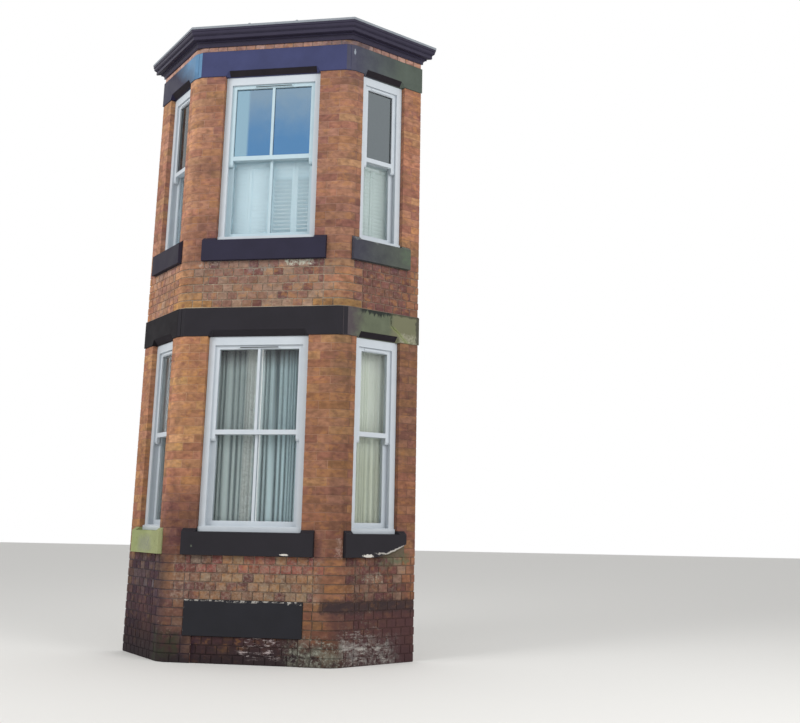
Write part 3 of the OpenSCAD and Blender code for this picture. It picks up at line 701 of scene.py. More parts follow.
clayLook = {
    "blotch": (21.0, 3.0, 0.55), "blotchSpread": (0.72, 0.72, 1.2),  # 66 mm along a brick, 40 mm up it
    "tone": (0.36, 0.64, 0.80, 1.20),
    # the kiln's flashes run over several bricks, olive-brown, plum and orange: grain, from, to, colour, most
    "flashes": (((9.0, 4.0, 0.6), 0.53, 0.66, "#74573F", 0.55), ((14.0, 4.0, 0.6), 0.56, 0.68, "#6E4540", 0.55),
                ((12.0, 4.0, 0.6), 0.46, 0.36, "#B5804F", 0.40)),
    "flashSpread": (0.8, 0.8, 1.2),
    "sand": (240.0, 3.0, 0.5),  # grains of 4 mm, coarser than they are so that they show
    "blotchRise": 3.0, "bump": (0.5, 0.0012),
    "shader": {"Roughness": 0.88, "Specular IOR Level": 0.25},
}


def firedClay():
    # Fired clay, pressed or wire-cut: matt, each brick its own colour, with a sandy skin
    material, tree, place = startMaterial("firedClay")
    body = addNode(tree, "ShaderNodeAttribute", attribute_name="brickColour", attribute_type="GEOMETRY")
    spread = addNode(tree, "spread", {"Vector": place, "Scale": clayLook["blotchSpread"]})
    blotch = addNode(tree, "noise", (spread, *clayLook["blotch"]))
    body = toned(tree, body, blotch, *clayLook["tone"])
    spread = addNode(tree, "spread", {"Vector": place, "Scale": clayLook["flashSpread"]})
    for grain, low, high, colour, most in clayLook["flashes"]:
        flash = addNode(tree, "noise", (spread, *grain))
        body = stain(tree, body, flash, low, high, colour, most)
    sand = addNode(tree, "noise", (place, *clayLook["sand"]))
    height = addNode(tree, "multiply_add", (blotch, clayLook["blotchRise"], sand))
    coat(tree, weatherAndPaintedLight(tree, place, body), clayLook, height)
    return material


mortarLook = {
    "wash": (7.0, 5.0, 0.7), "washSpan": (0.35, 0.65), "most": 1.16,  # patches of 140 mm
    "sooty": (0.80, 0.95, "#6E5248", 0.6),  # on the side faces
    "sand": (320.0, 4.0, 0.5),  # grains of 3 mm, coarser than they are so that they show
    "bump": (0.7, 0.001),
    "shader": {"Roughness": 0.95, "Specular IOR Level": 0.2},
}


def limeMortar(name, colour, washed=0.72):
    # Lime mortar with sand: matt and open, paler where it is washed out
    material, tree, place = startMaterial(name)
    wash = addNode(tree, "noise", (place, *mortarLook["wash"]))
    body = toned(tree, linear(colour), wash, *mortarLook["washSpan"], washed, mortarLook["most"])
    split = addNode(tree, "split", (place,))
    across = addNode(tree, "absolute", (split.outputs["X"],))
    body = stain(tree, body, across, *mortarLook["sooty"])
    sand = addNode(tree, "noise", (place, *mortarLook["sand"]))
    coat(tree, weatherAndPaintedLight(tree, place, body), mortarLook, sand)
    return material


innerLook = {
    "bricks": {"Color1": linear("#8A6351"), "Color2": linear("#744C43"), "Mortar": linear("#9C8D7E"), "Scale": 1.0,
               "Mortar Size": 0.005, "Mortar Smooth": 0.2, "Brick Width": 0.225, "Row Height": bay["course"]},
    "cloud": (14.0, 5.0, 0.6), "tone": (0.3, 0.7, 0.78, 1.12),  # patches of 70 mm
    "bump": (0.8, 0.004), "shader": {"Roughness": 0.9},
}


def innerBrickwork():
    # The wall's unseen side and its cut ends: common brick drawn by its courses, 225 mm by 85 mm
    material, tree, place = startMaterial("innerBrickwork")
    facing = addNode(tree, "ShaderNodeNewGeometry").outputs["True Normal"]
    across = addNode(tree, "vector cross_product", ((0.0, 0.0, 1.0), facing))
    along = addNode(tree, "vector dot_product", (place, across))
    split = addNode(tree, "split", (place,))
    flat = addNode(tree, "join", (along, split.outputs["Z"]))
    bricks = addNode(tree, "ShaderNodeTexBrick", {"Vector": flat, **innerLook["bricks"]})
    cloud = addNode(tree, "noise", (place, *innerLook["cloud"]))
    body = toned(tree, bricks, cloud, *innerLook["tone"])
    height = addNode(tree, "subtract", (1.0, bricks.outputs["Fac"]))
    coat(tree, body, innerLook, height)
    return material


stonePaintLook = {
    "cloud": (4.0, 6.0, 0.6), "tone": (0.3, 0.7, 0.88, 1.14),  # patches of 250 mm
    "knocks": (24.0, 8.0, 0.8), "knock": (0.755, 0.765, "#A8A298", 0.6),  # 40 mm
    "worn": ("#A9A59F", 0.9), "wornRamp": 0.03, "wornSoft": 0.008,
    "wander": (0.3, 0.7, -0.05, 0.05), "sheen": (-0.05, 0.1),  # about the roughness asked for
    "grain": (90.0, 5.0, 0.5), "bump": (0.25, 0.0012),  # 11 mm
}


def paintedStone(name, colour, skyReflection=None, edges=(), chipsAndGlints=(), scar=None, rough=0.55, level=0.18):
    # Sandstone under many coats of masonry paint: dulled, thin enough at knocks to show the pale stone
    material, tree, place = startMaterial(name)
    split = addNode(tree, "split", (place,))
    cloud = addNode(tree, "noise", (place, *stonePaintLook["cloud"]))
    body = linear(colour)
    if skyReflection:  # a painted reflection of the sky: to a second colour along x, sooner higher up
        above = addNode(tree, "subtract", (split.outputs["Z"], skyReflection["level"]))
        along = addNode(tree, "multiply_add", (above, skyReflection["lean"], split.outputs["X"]))
        wander = addNode(tree, "range", (cloud, *stonePaintLook["wander"]))
        along = addNode(tree, "add", (along, wander))
        body = stain(tree, body, along, *skyReflection["x"], skyReflection["colour"], 1.0)
    body = toned(tree, body, cloud, *stonePaintLook["tone"])
    knocks = addNode(tree, "noise", (place, *stonePaintLook["knocks"]))
    body = stain(tree, body, knocks, *stonePaintLook["knock"])
    for x, z, low in edges:  # worn along an edge
        body = stain(tree, body, knocks, low, low + stonePaintLook["wornRamp"], *stonePaintLook["worn"],
                     zone(tree, split, x, z, stonePaintLook["wornSoft"]))
    body = addChipsAndGlints(tree, place, body, chipsAndGlints)
    if scar:
        body = brokenEdge(tree, split, knocks, body, scar)
    sheen = addNode(tree, "range", (cloud, 0.3, 0.7, *[rough + step for step in stonePaintLook["sheen"]]))
    grain = addNode(tree, "noise", (place, *stonePaintLook["grain"]))
    coat(tree, body, {**stonePaintLook, "shader": {"Roughness": sheen, "Specular IOR Level": level}}, grain)
    return material


def brokenEdge(tree, split, grain, body, scar):  # a torn pale line, with bare and mossy stone under it
    x, start = split.outputs["X"], scar["start"]
    past = addNode(tree, "subtract", (x, scar["bend"]))
    rise = addNode(tree, "multiply", (past, scar["slope"]))
    rise = addNode(tree, "maximum", (rise, 0.0))
    line = addNode(tree, "add", (rise, scar["z"]))
    off = addNode(tree, "subtract", (split.outputs["Z"], line))
    ragged = addNode(tree, "range", (grain, *scar["ragged"]))
    off = addNode(tree, "add", (off, ragged))
    below = addNode(tree, "range", (off, *scar["below"]))
    begun = addNode(tree, "range", (x, start + scar["grows"], start + scar["grown"], 0.0, 1.0))
    under = addNode(tree, "multiply", (below, begun))
    bare = stain(tree, linear(scar["bare"]), grain, *scar["moss"])
    body = addNode(tree, "mix", (under, body, bare))
    half = addNode(tree, "range", (x, start, scar["end"], *scar["half"]))
    near = addNode(tree, "absolute", (off,))
    near = addNode(tree, "subtract", (near, half))
    begun = addNode(tree, "range", (x, start, start + scar["grows"], 0.0, 1.0))
    return stain(tree, body, near, *scar["torn"], begun)


bareStoneLook = {
    "cloud": (6.0, 7.0, 0.65), "tone": (0.3, 0.7, 0.86, 1.14),  # patches of 170 mm
    "wander": (0.3, 0.7, -0.06, 0.06),
    "growth": (10.0, 8.0, 0.75), "growthEdge": (0.62, 0.72), "growthMost": 0.75,  # 100 mm
    "pits": (45.0, 6.0, 0.8), "ragged": 0.10,  # 22 mm
    "grain": (160.0, 6.0, 0.6),  # 6 mm, coarser than sand so that it shows
    "bump": (0.5, 0.0015),
    "shader": {"Roughness": 0.9, "Specular IOR Level": 0.25},
}


def bareStone(name, colours, span, growth, growthShare, marks=(), chipsAndGlints=(), drips=None):
    # Bare sandstone: matt and sandy, with algae or lichen where water sits
    material, tree, place = startMaterial(name)
    split = addNode(tree, "split", (place,))
    cloud = addNode(tree, "noise", (place, *bareStoneLook["cloud"]))
    wander = addNode(tree, "range", (cloud, *bareStoneLook["wander"]))
    along = addNode(tree, "add", (split.outputs["X"], wander))
    body = stain(tree, linear(colours[0]), along, *span, colours[1], 1.0)
    body = toned(tree, body, cloud, *bareStoneLook["tone"])
    grow = addNode(tree, "noise", (place, *bareStoneLook["growth"]))
    low, high = [edge - growthShare for edge in bareStoneLook["growthEdge"]]
    body = stain(tree, body, grow, low, high, growth, bareStoneLook["growthMost"])
    pits = addNode(tree, "noise", (place, *bareStoneLook["pits"]))
    loose = shaken(tree, place, bareStoneLook["ragged"])
    for across, up, soft, low, high, mark, most in marks:
        body = stain(tree, body, pits, low, high, mark, most, zone(tree, loose, across, up, soft))
    body = addChipsAndGlints(tree, place, body, chipsAndGlints)
    if drips:
        body = mossAndCrack(tree, place, split, body, drips)
    grain = addNode(tree, "noise", (place, *bareStoneLook["grain"]))
    coat(tree, body, bareStoneLook, grain)
    return material


def mossAndCrack(tree, place, split, body, drips):  # teeth of moss off the top edge, a crack that turns low down
    x, z = split.outputs["X"], split.outputs["Z"]
    spread = addNode(tree, "spread", {"Vector": place, "Scale": drips["spread"]})
    teeth = addNode(tree, "noise", (spread, *drips["teeth"]))
    reach = addNode(tree, "range", (z, *drips["reach"]))
    teeth = addNode(tree, "add", (teeth, reach))
    over = zone(tree, split, drips["x"], drips["z"], drips["soft"])
    body = stain(tree, body, teeth, *drips["soot"], over)
    turn = addNode(tree, "subtract", (drips["bend"], z))
    turn = addNode(tree, "maximum", (turn, 0.0))
    grain = addNode(tree, "noise", (place, *drips["grain"]))
    wander = addNode(tree, "range", (grain, *drips["wander"]))
    off = addNode(tree, "subtract", (x, drips["crack"]))
    off = addNode(tree, "add", (off, wander))
    off = addNode(tree, "multiply_add", (turn, -drips["slope"], off))
    off = addNode(tree, "absolute", (off,))
    for edge in ("lichen", "split"):
        share = addNode(tree, "range", (turn, *drips[edge + "Share"]))
        body = stain(tree, body, off, *drips[edge], share)
    return body


# Two shades clouded into each other. Brushed paint has its brush lines for a bump, the others their own cloud
plainLooks = {
    # Softwood under white satin paint: smooth, faint brush lines 5 mm apart, a little grey dirt
    "whiteSatinPaint": {
        "shades": ("#CAD1D7", "#BBC3CB"), "cloud": (9.0, 5.0, 0.6), "lines": (220.0, 220.0, 9.0),
        "bump": (0.12, 0.0006), "shader": {"Roughness": 0.38}},
    # Cornice boards under dark gloss paint, dulled by weather
    "darkGlossPaint": {
        "shades": ("#2A2737", "#393546"), "cloud": (6.0, 6.0, 0.65),
        "bump": (0.15, 0.001), "shader": {"Roughness": 0.42, "Specular IOR Level": 0.22}},
    # The underside of a lintel's chamfer, near black and matt: partly paint gone to soot, partly painted shade on
    # faces that turn down
    "sootAndShadeArris": {
        "shades": ("#1E1B20", "#2E2A2F"), "cloud": (12.0, 6.0, 0.7),
        "shader": {"Roughness": 0.8, "Specular IOR Level": 0.15}},
    # Sawn redwood: matt, straight grain along the piece, knots left out
    "sawnSoftwood": {
        "shades": ("#B08A5C", "#8A6540"), "cloud": (2.0, 6.0, 0.6), "spread": (4.0, 30.0, 60.0),
        "bump": (0.3, 0.001), "shader": {"Roughness": 0.8}},
    # Lime plaster under off-white emulsion: matt, gently uneven
    "paintedPlaster": {
        "shades": ("#E4E0D6", "#D6D1C6"), "cloud": (4.0, 5.0, 0.5),
        "bump": (0.2, 0.002), "shader": {"Roughness": 0.9}},
    # Milled lead gone grey-white outdoors, dressed by hand
    "weatheredLead": {
        "shades": ("#7E848C", "#A9AFB6"), "cloud": (5.0, 7.0, 0.7),
        "bump": (0.4, 0.003), "shader": {"Metallic": 0.5, "Roughness": 0.6}},
}
# The white paint again, as shaded and lit copies, painted light and shade: shaded under blue sky, lit behind glass,
# and lit, less blue, behind the right window's glass
for name, shades in (("shadedSatinPaint", ("#BBD0D8", "#ABC0CA")), ("paleSatinPaint", ("#E2F4FC", "#D8ECF4")),
                     ("creamSatinPaint", ("#DBE6E2", "#CDDAD6"))):
    plainLooks[name] = {**plainLooks["whiteSatinPaint"], "shades": shades}


def plainFinish(name):
    look = plainLooks[name]
    material, tree, place = startMaterial(name)
    spread = addNode(tree, "spread", {"Vector": place, "Scale": look.get("spread", (1.0, 1.0, 1.0))})
    cloud = addNode(tree, "noise", (spread, *look["cloud"]))
    body = addNode(tree, "mix", (cloud, *[linear(shade) for shade in look["shades"]]))
    relief = cloud
    if "lines" in look:
        spread = addNode(tree, "spread", {"Vector": place, "Scale": look["lines"]})
        relief = addNode(tree, "noise", (spread, 1.0, 2.0, 0.5))
    coat(tree, body, look, relief)
    return material


glassLook = {
    "clear": "#D6E5E9", "alpha": 0.3, "shader": {"Roughness": 0.0, "Transmission Weight": 1.0, "IOR": 1.5},
    # upper panes, a painted reflection of the sky: blind's pale strip, deep blue, paler blue above it, and the grey of
    # the side windows, a painted reflection too
    "sky": ("#8DB1C4", "#4A80B0", "#7C98AE", "#687074"), "strip": (-0.30, -0.27), "rise": (5.45, 6.0),
    "sides": (0.80, 0.81),
    "wisps": (3.0, 5.0, 0.7), "wander": (0.3, 0.7, -0.12, 0.12),  # painted cloud wisps in the sky reflection, 330 mm
}


def clearGlass():
    # Float glass: clear with a green-blue cast
    material, tree = startMaterial("floatGlass")[:2]
    coat(tree, linear(glassLook["clear"]), {"shader": {"Alpha": glassLook["alpha"], **glassLook["shader"]}})
    return material


def skyReflectionGlass():
    # Float glass high up, where the panes carry a painted reflection of open sky
    material, tree, place = startMaterial("floatGlassSkyReflection")
    strip, deep, high, grey = glassLook["sky"]
    split = addNode(tree, "split", (place,))
    grain = addNode(tree, "noise", (place, *glassLook["wisps"]))
    wisps = addNode(tree, "range", (grain, *glassLook["wander"]))
    up = addNode(tree, "add", (split.outputs["Z"], wisps))
    blue = stain(tree, linear(deep), up, *glassLook["rise"], high, 1.0)
    share = addNode(tree, "range", (split.outputs["X"], *glassLook["strip"], 0.0, 1.0))
    blue = addNode(tree, "mix", (share, linear(strip), blue))
    across = addNode(tree, "absolute", (split.outputs["X"],))
    body = stain(tree, blue, across, *glassLook["sides"], grey, 1.0)
    coat(tree, body, glassLook)
    return material


gauzeLook = {
    "wires": 330.0, "shade": "#343B3E", "hole": (0.2, 0.6, "#23282A", 1.0),
    "bump": (0.3, 0.0005), "shader": {"Roughness": 0.9},
}


def gauzeAndSlotShade():
    # Black woven wire gauze behind the vents, its dark standing partly for painted shade in the slot: dull, next to no
    # light comes back; woven at 1 mm, drawn at 3 mm
    material, tree, place = startMaterial("gauzeAndSlotShade")
    weave = addNode(tree, "ShaderNodeTexVoronoi", {"Vector": place, "Scale": gauzeLook["wires"]})
    body = stain(tree, linear(gauzeLook["shade"]), weave, *gauzeLook["hole"])
    coat(tree, body, gauzeLook, weave)
    return material


netLook = {
    "crest": ("#B9C3C0", "#C6DADE"), "hollow": "#434E52",  # left to right in the front window; the dark down in a fold is painted shade
    "sideCrest": "#E4E6D2", "sideFoldShade": "#A2A696", "sideHigh": (1.9, 2.5, "#F2F5EA", 0.75),  # right side, lighter
    "front": (-0.25, 0.25), "side": (0.80, 0.90), "fold": (0.10, 0.62),
    # darker at the top of the front curtains: painted shadow under the window head
    "head": (2.90, 3.08, "#4F4648", 1.0), "headShare": (0.70, 0.80, 0.7, 0.15),
    "lace": "#F0EFE8", "laceShare": 0.5, "eyelet": (0.4, 0.25, "#5E6462", 1.0), "eyelets": 90.0,  # 11 mm apart
    "weave": (250.0, 2.0, 0.5),
    "bump": (0.2, 0.0005), "shader": {"Roughness": 0.95, "Specular IOR Level": 0.1},
}


def netCloth():
    # Cotton net: thin and matt, paler on the crest of a fold than down in it, the dark of the fold being painted
    # shade, woven at 1.2 mm, drawn at 4 mm
    material, tree, place = startMaterial("netCloth")
    fold, lace = [addNode(tree, "ShaderNodeAttribute", attribute_name=name, attribute_type="GEOMETRY").outputs["Fac"]
                  for name in ("fold", "lace")]
    split = addNode(tree, "split", (place,))
    x, z = split.outputs["X"], split.outputs["Z"]
    side = addNode(tree, "range", (x, *netLook["side"], 0.0, 1.0))
    crest = stain(tree, linear(netLook["crest"][0]), x, *netLook["front"], netLook["crest"][1], 1.0)
    crest = addNode(tree, "mix", (side, crest, linear(netLook["sideCrest"])))
    hollow = addNode(tree, "mix", (side, linear(netLook["hollow"]), linear(netLook["sideFoldShade"])))
    share = addNode(tree, "range", (fold, *netLook["fold"], 0.0, 1.0))
    body = addNode(tree, "mix", (share, hollow, crest))
    body = stain(tree, body, z, *netLook["sideHigh"], side)
    # painted shadow across the top of the front curtains
    front = addNode(tree, "range", (x, *netLook["headShare"]))
    body = stain(tree, body, z, *netLook["head"], front)
    holes = addNode(tree, "ShaderNodeTexVoronoi", {"Vector": place, "Scale": netLook["eyelets"]})
    share = addNode(tree, "multiply", (lace, netLook["laceShare"]))
    body = addNode(tree, "mix", (share, body, linear(netLook["lace"])))
    body = stain(tree, body, holes, *netLook["eyelet"], lace)
    weave = addNode(tree, "noise", (place, *netLook["weave"]))
    coat(tree, body, netLook, weave)
    return material


# Walls: foot and courses, for the piers those beside the sills and those beside the openings
walls = {
    "base": (0.0, 12), "groundPiers": (1.02, 3, 23), "spandrel": (3.53, 6), "firstPiers": (4.04, 3, 22),
    "head": (6.465, 1), "commonRake": 0.006, "pressedRake": 0.0024,
}
addShape("whole", blockMesh("wholeBrick", brickSizes["arris"]))
laidBricks = {name: [] for name in (
    "baseBricks", "groundPierBricks", "spandrelBricks", "firstPierBricks", "headBricks", "infillBricks")}
commonWall(laidBricks["baseBricks"], *walls["base"], baseKind, baseCorner)
pierWall(laidBricks["groundPierBricks"], *walls["groundPiers"], bay["groundShift"])
commonWall(laidBricks["spandrelBricks"], *walls["spandrel"], spandrelKind, spandrelCorner)
pierWall(laidBricks["firstPierBricks"], *walls["firstPiers"], bay["firstShift"])
commonWall(laidBricks["headBricks"], *walls["head"], lambda side, s, z: "pale", lambda side, z: "pale")
for number in bay["infillCourses"]:
    layRun(laidBricks["infillBricks"], 0, *bay["infill"], number * bay["course"], number % 2 == 1,
           lambda s: "infill", brickSizes["commonJoint"], bay["infillBack"])

clay = firedClay()
setTree, setSockets = setPiecesTree()
for seed, (name, laid) in enumerate(laidBricks.items()):
    piece = laidObject(name, laid, brickShapes, clay, 20 + seed, brickSizes["push"], brickSizes["tilt"])
    print(name, len(laid), "bricks,", len(piece.data.polygons), "faces")

tight = limeMortar("tightLimeMortar", "#A17C66", 0.85)
pale = limeMortar("paleLimeMortar", "#AC9886", 0.50)
damp = limeMortar("dampLimeMortar", "#907B6B", 0.50)
sooted = limeMortar("sootedLimeMortar", "#604C49", 0.50)
innerWork = innerBrickwork()
for node, name, rake, mortar in (
        ("base_wall", "baseMortar", "commonRake", damp), ("ground_piers", "groundPierMortar", "pressedRake", tight),
        ("spandrel_wall", "spandrelMortar", "commonRake", pale),
        ("first_piers", "firstPierMortar", "pressedRake", tight),
        ("head_course", "headMortar", "commonRake", pale), ("cellar_infill", "infillMortar", "commonRake", sooted)):
    core = rakedCore(node, name, walls[rake], (mortar, innerWork))
print("walls laid")

# Stone. Marks are x, z, soft edge, from and to in the grain, colour and most
black = paintedStone("blackMasonryPaint", "#27252A")
navy = paintedStone("navyMasonryPaint", "#3B3F61", rough=0.4)
darkNavy = paintedStone("darkNavyPaint", "#2B2939")
stones = {
    "cellar_panel": ("cellarPanelStone", "black_stone", paintedStone("blackPaintPanel", "#242429", edges=(
        ((-0.66, 0.58), (0.586, 0.60), 0.50), ((-0.66, -0.636), (0.3, 0.6), 0.60),
        ((0.40, 0.56), (0.570, 0.60), 0.54), ((-0.20, 0.10), (0.578, 0.60), 0.52)))),
    "ground_sill_left": ("groundSillLeftStone", "lichen_stone", bareStone(
        "lichenSandstone", ("#969E6E", "#9A9F74"), (-1.3, -1.05), "#7E8555", 0.04, marks=(
            ((-1.30, -1.14), (1.07, 1.15), 0.07, 0.30, 0.60, "#8A8A83", 0.85),
            ((-1.60, -0.80), (0.90, 1.30), 0.05, 0.56, 0.68, "#6E7443", 0.7)))),
    "ground_sill_front": ("groundSillFrontStone", "black_stone", paintedStone("blackPaintSill", "#27252A", chipsAndGlints=(
        ((0.362, -0.32, 1.036), (26, 8, 110), "#CFCBC4"), ((-0.585, -0.32, 1.105), (95, 8, 95), "#4F554B")))),
    "ground_sill_right": ("groundSillRightStone", "black_stone", paintedStone(
        "blackPaintSillChipped", "#27252A", chipsAndGlints=(((1.152, -0.02, 1.034), (25, 3, 60), "#CFCBC4"),),
        scar={"start": 1.20, "bend": 1.31, "end": 1.45, "slope": 0.46, "z": 1.058, "grows": 0.05, "grown": 0.14,
              "ragged": (0.3, 0.7, -0.016, 0.016), "below": (-0.002, -0.008, 0.0, 0.92), "half": (0.003, 0.009),
              "bare": "#5A4C42", "moss": (0.42, 0.56, "#69745A", 1.0), "torn": (0.003, 0.0, "#B5B1AB", 0.95)})),
    # the left lintel's black is a darker copy of the front's paint: painted shade
    "ground_lintel_left": ("groundLintelLeftStone", "black_stone", paintedStone(
        "blackPaintShadedCopy", "#130F14", level=0.10)),
    "ground_lintel_front": ("groundLintelFrontStone", "black_stone", black),
    "ground_lintel_right": ("groundLintelRightStone", "buff_stone", bareStone(
        "buffSandstone", ("#514A4D", "#5F6554"), (0.95, 1.08), "#566048", -0.02, marks=(
            ((1.33, 1.60), (3.20, 3.60), 0.05, 0.0, 0.2, "#74735B", 0.8),
            ((1.39, 1.53), (3.22, 3.31), 0.03, 0.40, 0.55, "#A19E8C", 0.7),
            # a dark line along the top edge: painted shadow under the brickwork above, partly soot
            ((1.31, 1.60), (3.518, 3.60), 0.012, 0.3, 0.45, "#37352F", 0.7),
            # dark where the stone meets the house wall: painted shade in the corner
            ((1.535, 1.60), (3.20, 3.60), 0.008, 0.0, 0.2, "#3A3836", 0.75)),
        drips={"x": (1.04, 1.29), "z": (0.0, 9.0), "soft": 0.03, "reach": (3.42, 3.53, 0.0, 0.46),
               "spread": (1.3, 1.3, 0.30), "teeth": (26.0, 5.0, 0.75), "soot": (0.74, 0.84, "#272A2A", 0.92),
               "crack": 1.30, "bend": 3.40, "slope": 0.9, "grain": (14.0, 5.0, 0.7), "wander": (0.2, 0.8, -0.02, 0.02),
               "lichen": (0.030, 0.012, "#7F8A50", 1.0), "lichenShare": (0.0, 0.02, 0.0, 0.45),
               "split": (0.007, 0.003, "#363A2E", 1.0), "splitShare": (0.0, 0.12, 0.85, 0.30)})),
    # the left sill's navy is a darker copy of the front sill's paint: painted shade
    "first_sill_left": ("firstSillLeftStone", "navy_stone", paintedStone("darkNavyPaintShadedCopy", "#26222F")),
    "first_sill_front": ("firstSillFrontStone", "navy_stone", darkNavy),
    "first_sill_right": ("firstSillRightStone", "grey_stone", bareStone(
        "greySandstone", ("#41414B", "#525750"), (1.0, 1.40), "#5A6450", -0.05, marks=(
            ((0.90, 1.50), (4.262, 4.30), 0.006, 0.50, 0.58, "#9FA39E", 0.7),
            ((1.43, 1.52), (4.12, 4.22), 0.06, 0.35, 0.60, "#5B6C56", 0.65),
            ((0.90, 1.30), (4.05, 4.26), 0.03, 0.62, 0.72, "#8A8C90", 0.6)))),
    # the left lintel's navy is a darker copy of the front's, which is painted shade, with a painted sky reflection
    # paling it towards the corner
    "first_lintel_left": ("firstLintelLeftStone", "navy_stone", paintedStone(
        "navyPaintSkyReflection", "#1E1B34", rough=0.4,
        skyReflection={"colour": "#5C82A4", "x": (-1.22, -0.93), "level": 6.315, "lean": 0.9})),
    "first_lintel_front": ("firstLintelFrontStone", "navy_stone", navy),
    "first_lintel_right": ("firstLintelRightStone", "grey_stone", bareStone(
        "greyGreenSandstone", ("#484858", "#525A53"), (0.90, 1.35), "#434A47", -0.04,
        # a pale streak on the corner arris: painted highlight
        chipsAndGlints=(((0.910, -0.242, 6.386), (110, 8, 26), "#8C929C"),))),
}
stoneEdges = {
    "ease": 0.004, "chamferArea": 0.004, "splayArea": 0.002,  # m2, so that the eased arrises stay as they are
    "breakX": 1.19, "breakTop": 1.16, "breakLow": 1.024, "breakOut": 0.035,  # the right sill, broken back to the wall
}
# the near-black for down-facing chamfers: partly soot, partly painted shade
soot = plainFinish("sootAndShadeArris")
sawnStone = bareStone("sawnSandstone", ("#8D8574", "#857D6D"), (-0.5, 0.5), "#7A7466", -0.06)
brokenStone = bareStone("brokenSandstone", ("#5B4D42", "#62584A"), (1.2, 1.4), "#4F5940", 0.10)
for node, (name, slot, finish) in stones.items():
    stone = softEdged(node, name, stoneEdges["ease"], finish)
    for extra in (soot, sawnStone, brokenStone):
        stone.data.materials.append(extra)
    side = -1 if "left" in node else (1 if "right" in node else 0)
    for face in stone.data.polygons:
        n, at = face.normal, face.center
        inward = n.dot(inwardOf(side))
        # down-facing chamfer faces, except on the ground floor's front stone, take it: partly soot, partly painted
        # shade
        if "lintel" in node and -0.9 < n.z < -0.3 and face.area > stoneEdges["chamferArea"] and finish is not black:
            face.material_index = 1
        if isHouseFace(n, at) or inward > 0.9 and side:
            face.material_index = 2
        if node == "ground_sill_right" and at.x > stoneEdges["breakX"] and at.z < stoneEdges["breakTop"]:
            out = ((at.x - bay["half"]) - (at.y + bay["depth"] - bay["wallY"])) * slant
            isUnder = n.z < -0.1 and at.z > stoneEdges["breakLow"]
            if out < stoneEdges["breakOut"] and (isUnder or inward < -0.9):
                face.material_index = 3
# the stone that turns each splayed corner carries its own face's finish
for node, other, side in (
        ("first_lintel_front", "first_lintel_left", -1), ("first_lintel_front", "first_lintel_right", 1),
        ("ground_lintel_right", "ground_lintel_front", 1), ("ground_lintel_left", "ground_lintel_front", -1)):
    stone = bpy.data.objects[stones[node][0]].data
    stone.materials.append(stones[other][2])
    for face in stone.polygons:
        isSplay = 0.3 < side * face.normal.x < 0.5 and face.normal.y < -0.85
        if isSplay and face.area > stoneEdges["splayArea"]:
            face.material_index = len(stone.materials) - 1
print("stone set")

# Windows: how far the arrises of each kind are eased
windowEdges = {"frame": 0.0022, "sash": 0.0018, "board": 0.005, "cornice": 0.0015}
white = plainFinish("whiteSatinPaint")
for node, name, kind in (
        ("ground_front_frame", "groundFrontFrame", "frame"), ("ground_side_frames", "groundSideFrames", "frame"),
        ("first_front_frame", "firstFrontFrame", "frame"), ("first_side_frames", "firstSideFrames", "frame"),
        ("ground_front_sashes", "groundFrontSashes", "sash"), ("ground_side_sashes", "groundSideSashes", "sash"),
        ("first_front_sashes", "firstFrontSashes", "sash"), ("first_side_sashes", "firstSideSashes", "sash"),
        ("window_boards", "windowBoards", "board")):
    # the first floor's front sashes take the shaded copy of the white paint: painted shade
    paint = plainFinish("shadedSatinPaint") if name == "firstFrontSashes" else white
    softEdged(node, name, windowEdges[kind], paint, whole=False)
print("windows set")


def dress(finish, *names):  # a CAD node keeps its shape and gets its finish
    for name in names:
        data = frame["nodes"][name].data
        data.materials.clear()
        data.materials.append(finish)


dress(white, "curtain_rods")
dress(clearGlass(), "ground_glass", "first_glass")
upperGlass = frame["nodes"]["first_glass"].data
upperGlass.materials.append(skyReflectionGlass())
for face in upperGlass.polygons:  # above the meeting rails, the panes with the painted sky reflection
    face.material_index = 1 if face.center.z > 5.20 else 0
softEdged("cornice", "corniceBoards", windowEdges["cornice"], plainFinish("darkGlossPaint"), whole=False)
wood = plainFinish("sawnSoftwood")
dress(wood, "roof_joists", "roof_deck", "ground_floor_joists", "first_floor_joists")
dress(plainFinish("paintedPlaster"), "ground_ceiling", "first_ceiling", "ground_plaster", "first_plaster")
dress(plainFinish("weatheredLead"), "lead_roof")
print("glass, cornice, roof and floors dressed")

# Shutters, four leaves in the front window and two in each side one
shutters = {
    "windows": ((0, -0.532, 0.508, 4), (-1, 0.168, 0.724, 2), (1, 0.168, 0.724, 2)),  # face, its stretch, leaves
    "low": 4.3205, "high": 0.900, "near": 0.192, "thick": 0.024, "stile": 0.030, "topRail": 0.075, "railThick": 0.92,
    "gap": 0.002, "edge": 0.004, "pitch": 0.043, "louvre": (0.0070, 0.0495),
    # the slats' turn: shut, and on the right pair in front tilted, half as far above the open share
    "shut": -0.08, "tilted": 0.98, "open": 0.80,
}


def louvreMesh(name):  # a lens-shaped slat of unit length, height and thickness
    bm = bmesh.new()
    outline = [(0, -0.5), (0.32, -0.34), (0.5, 0), (0.32, 0.34), (0, 0.5), (-0.32, 0.34), (-0.5, 0), (-0.32, -0.34)]
    ends = [[bm.verts.new((x, y, z)) for y, z in outline] for x in (-0.5, 0.5)]
    for i in range(len(outline)):
        j = (i + 1) % len(outline)
        bm.faces.new((ends[0][i], ends[0][j], ends[1][j], ends[1][i]))
    bm.faces.new(ends[0])
    bm.faces.new(ends[1])
    bmesh.ops.recalc_face_normals(bm, faces=bm.faces)
    return meshFrom(bm, name)


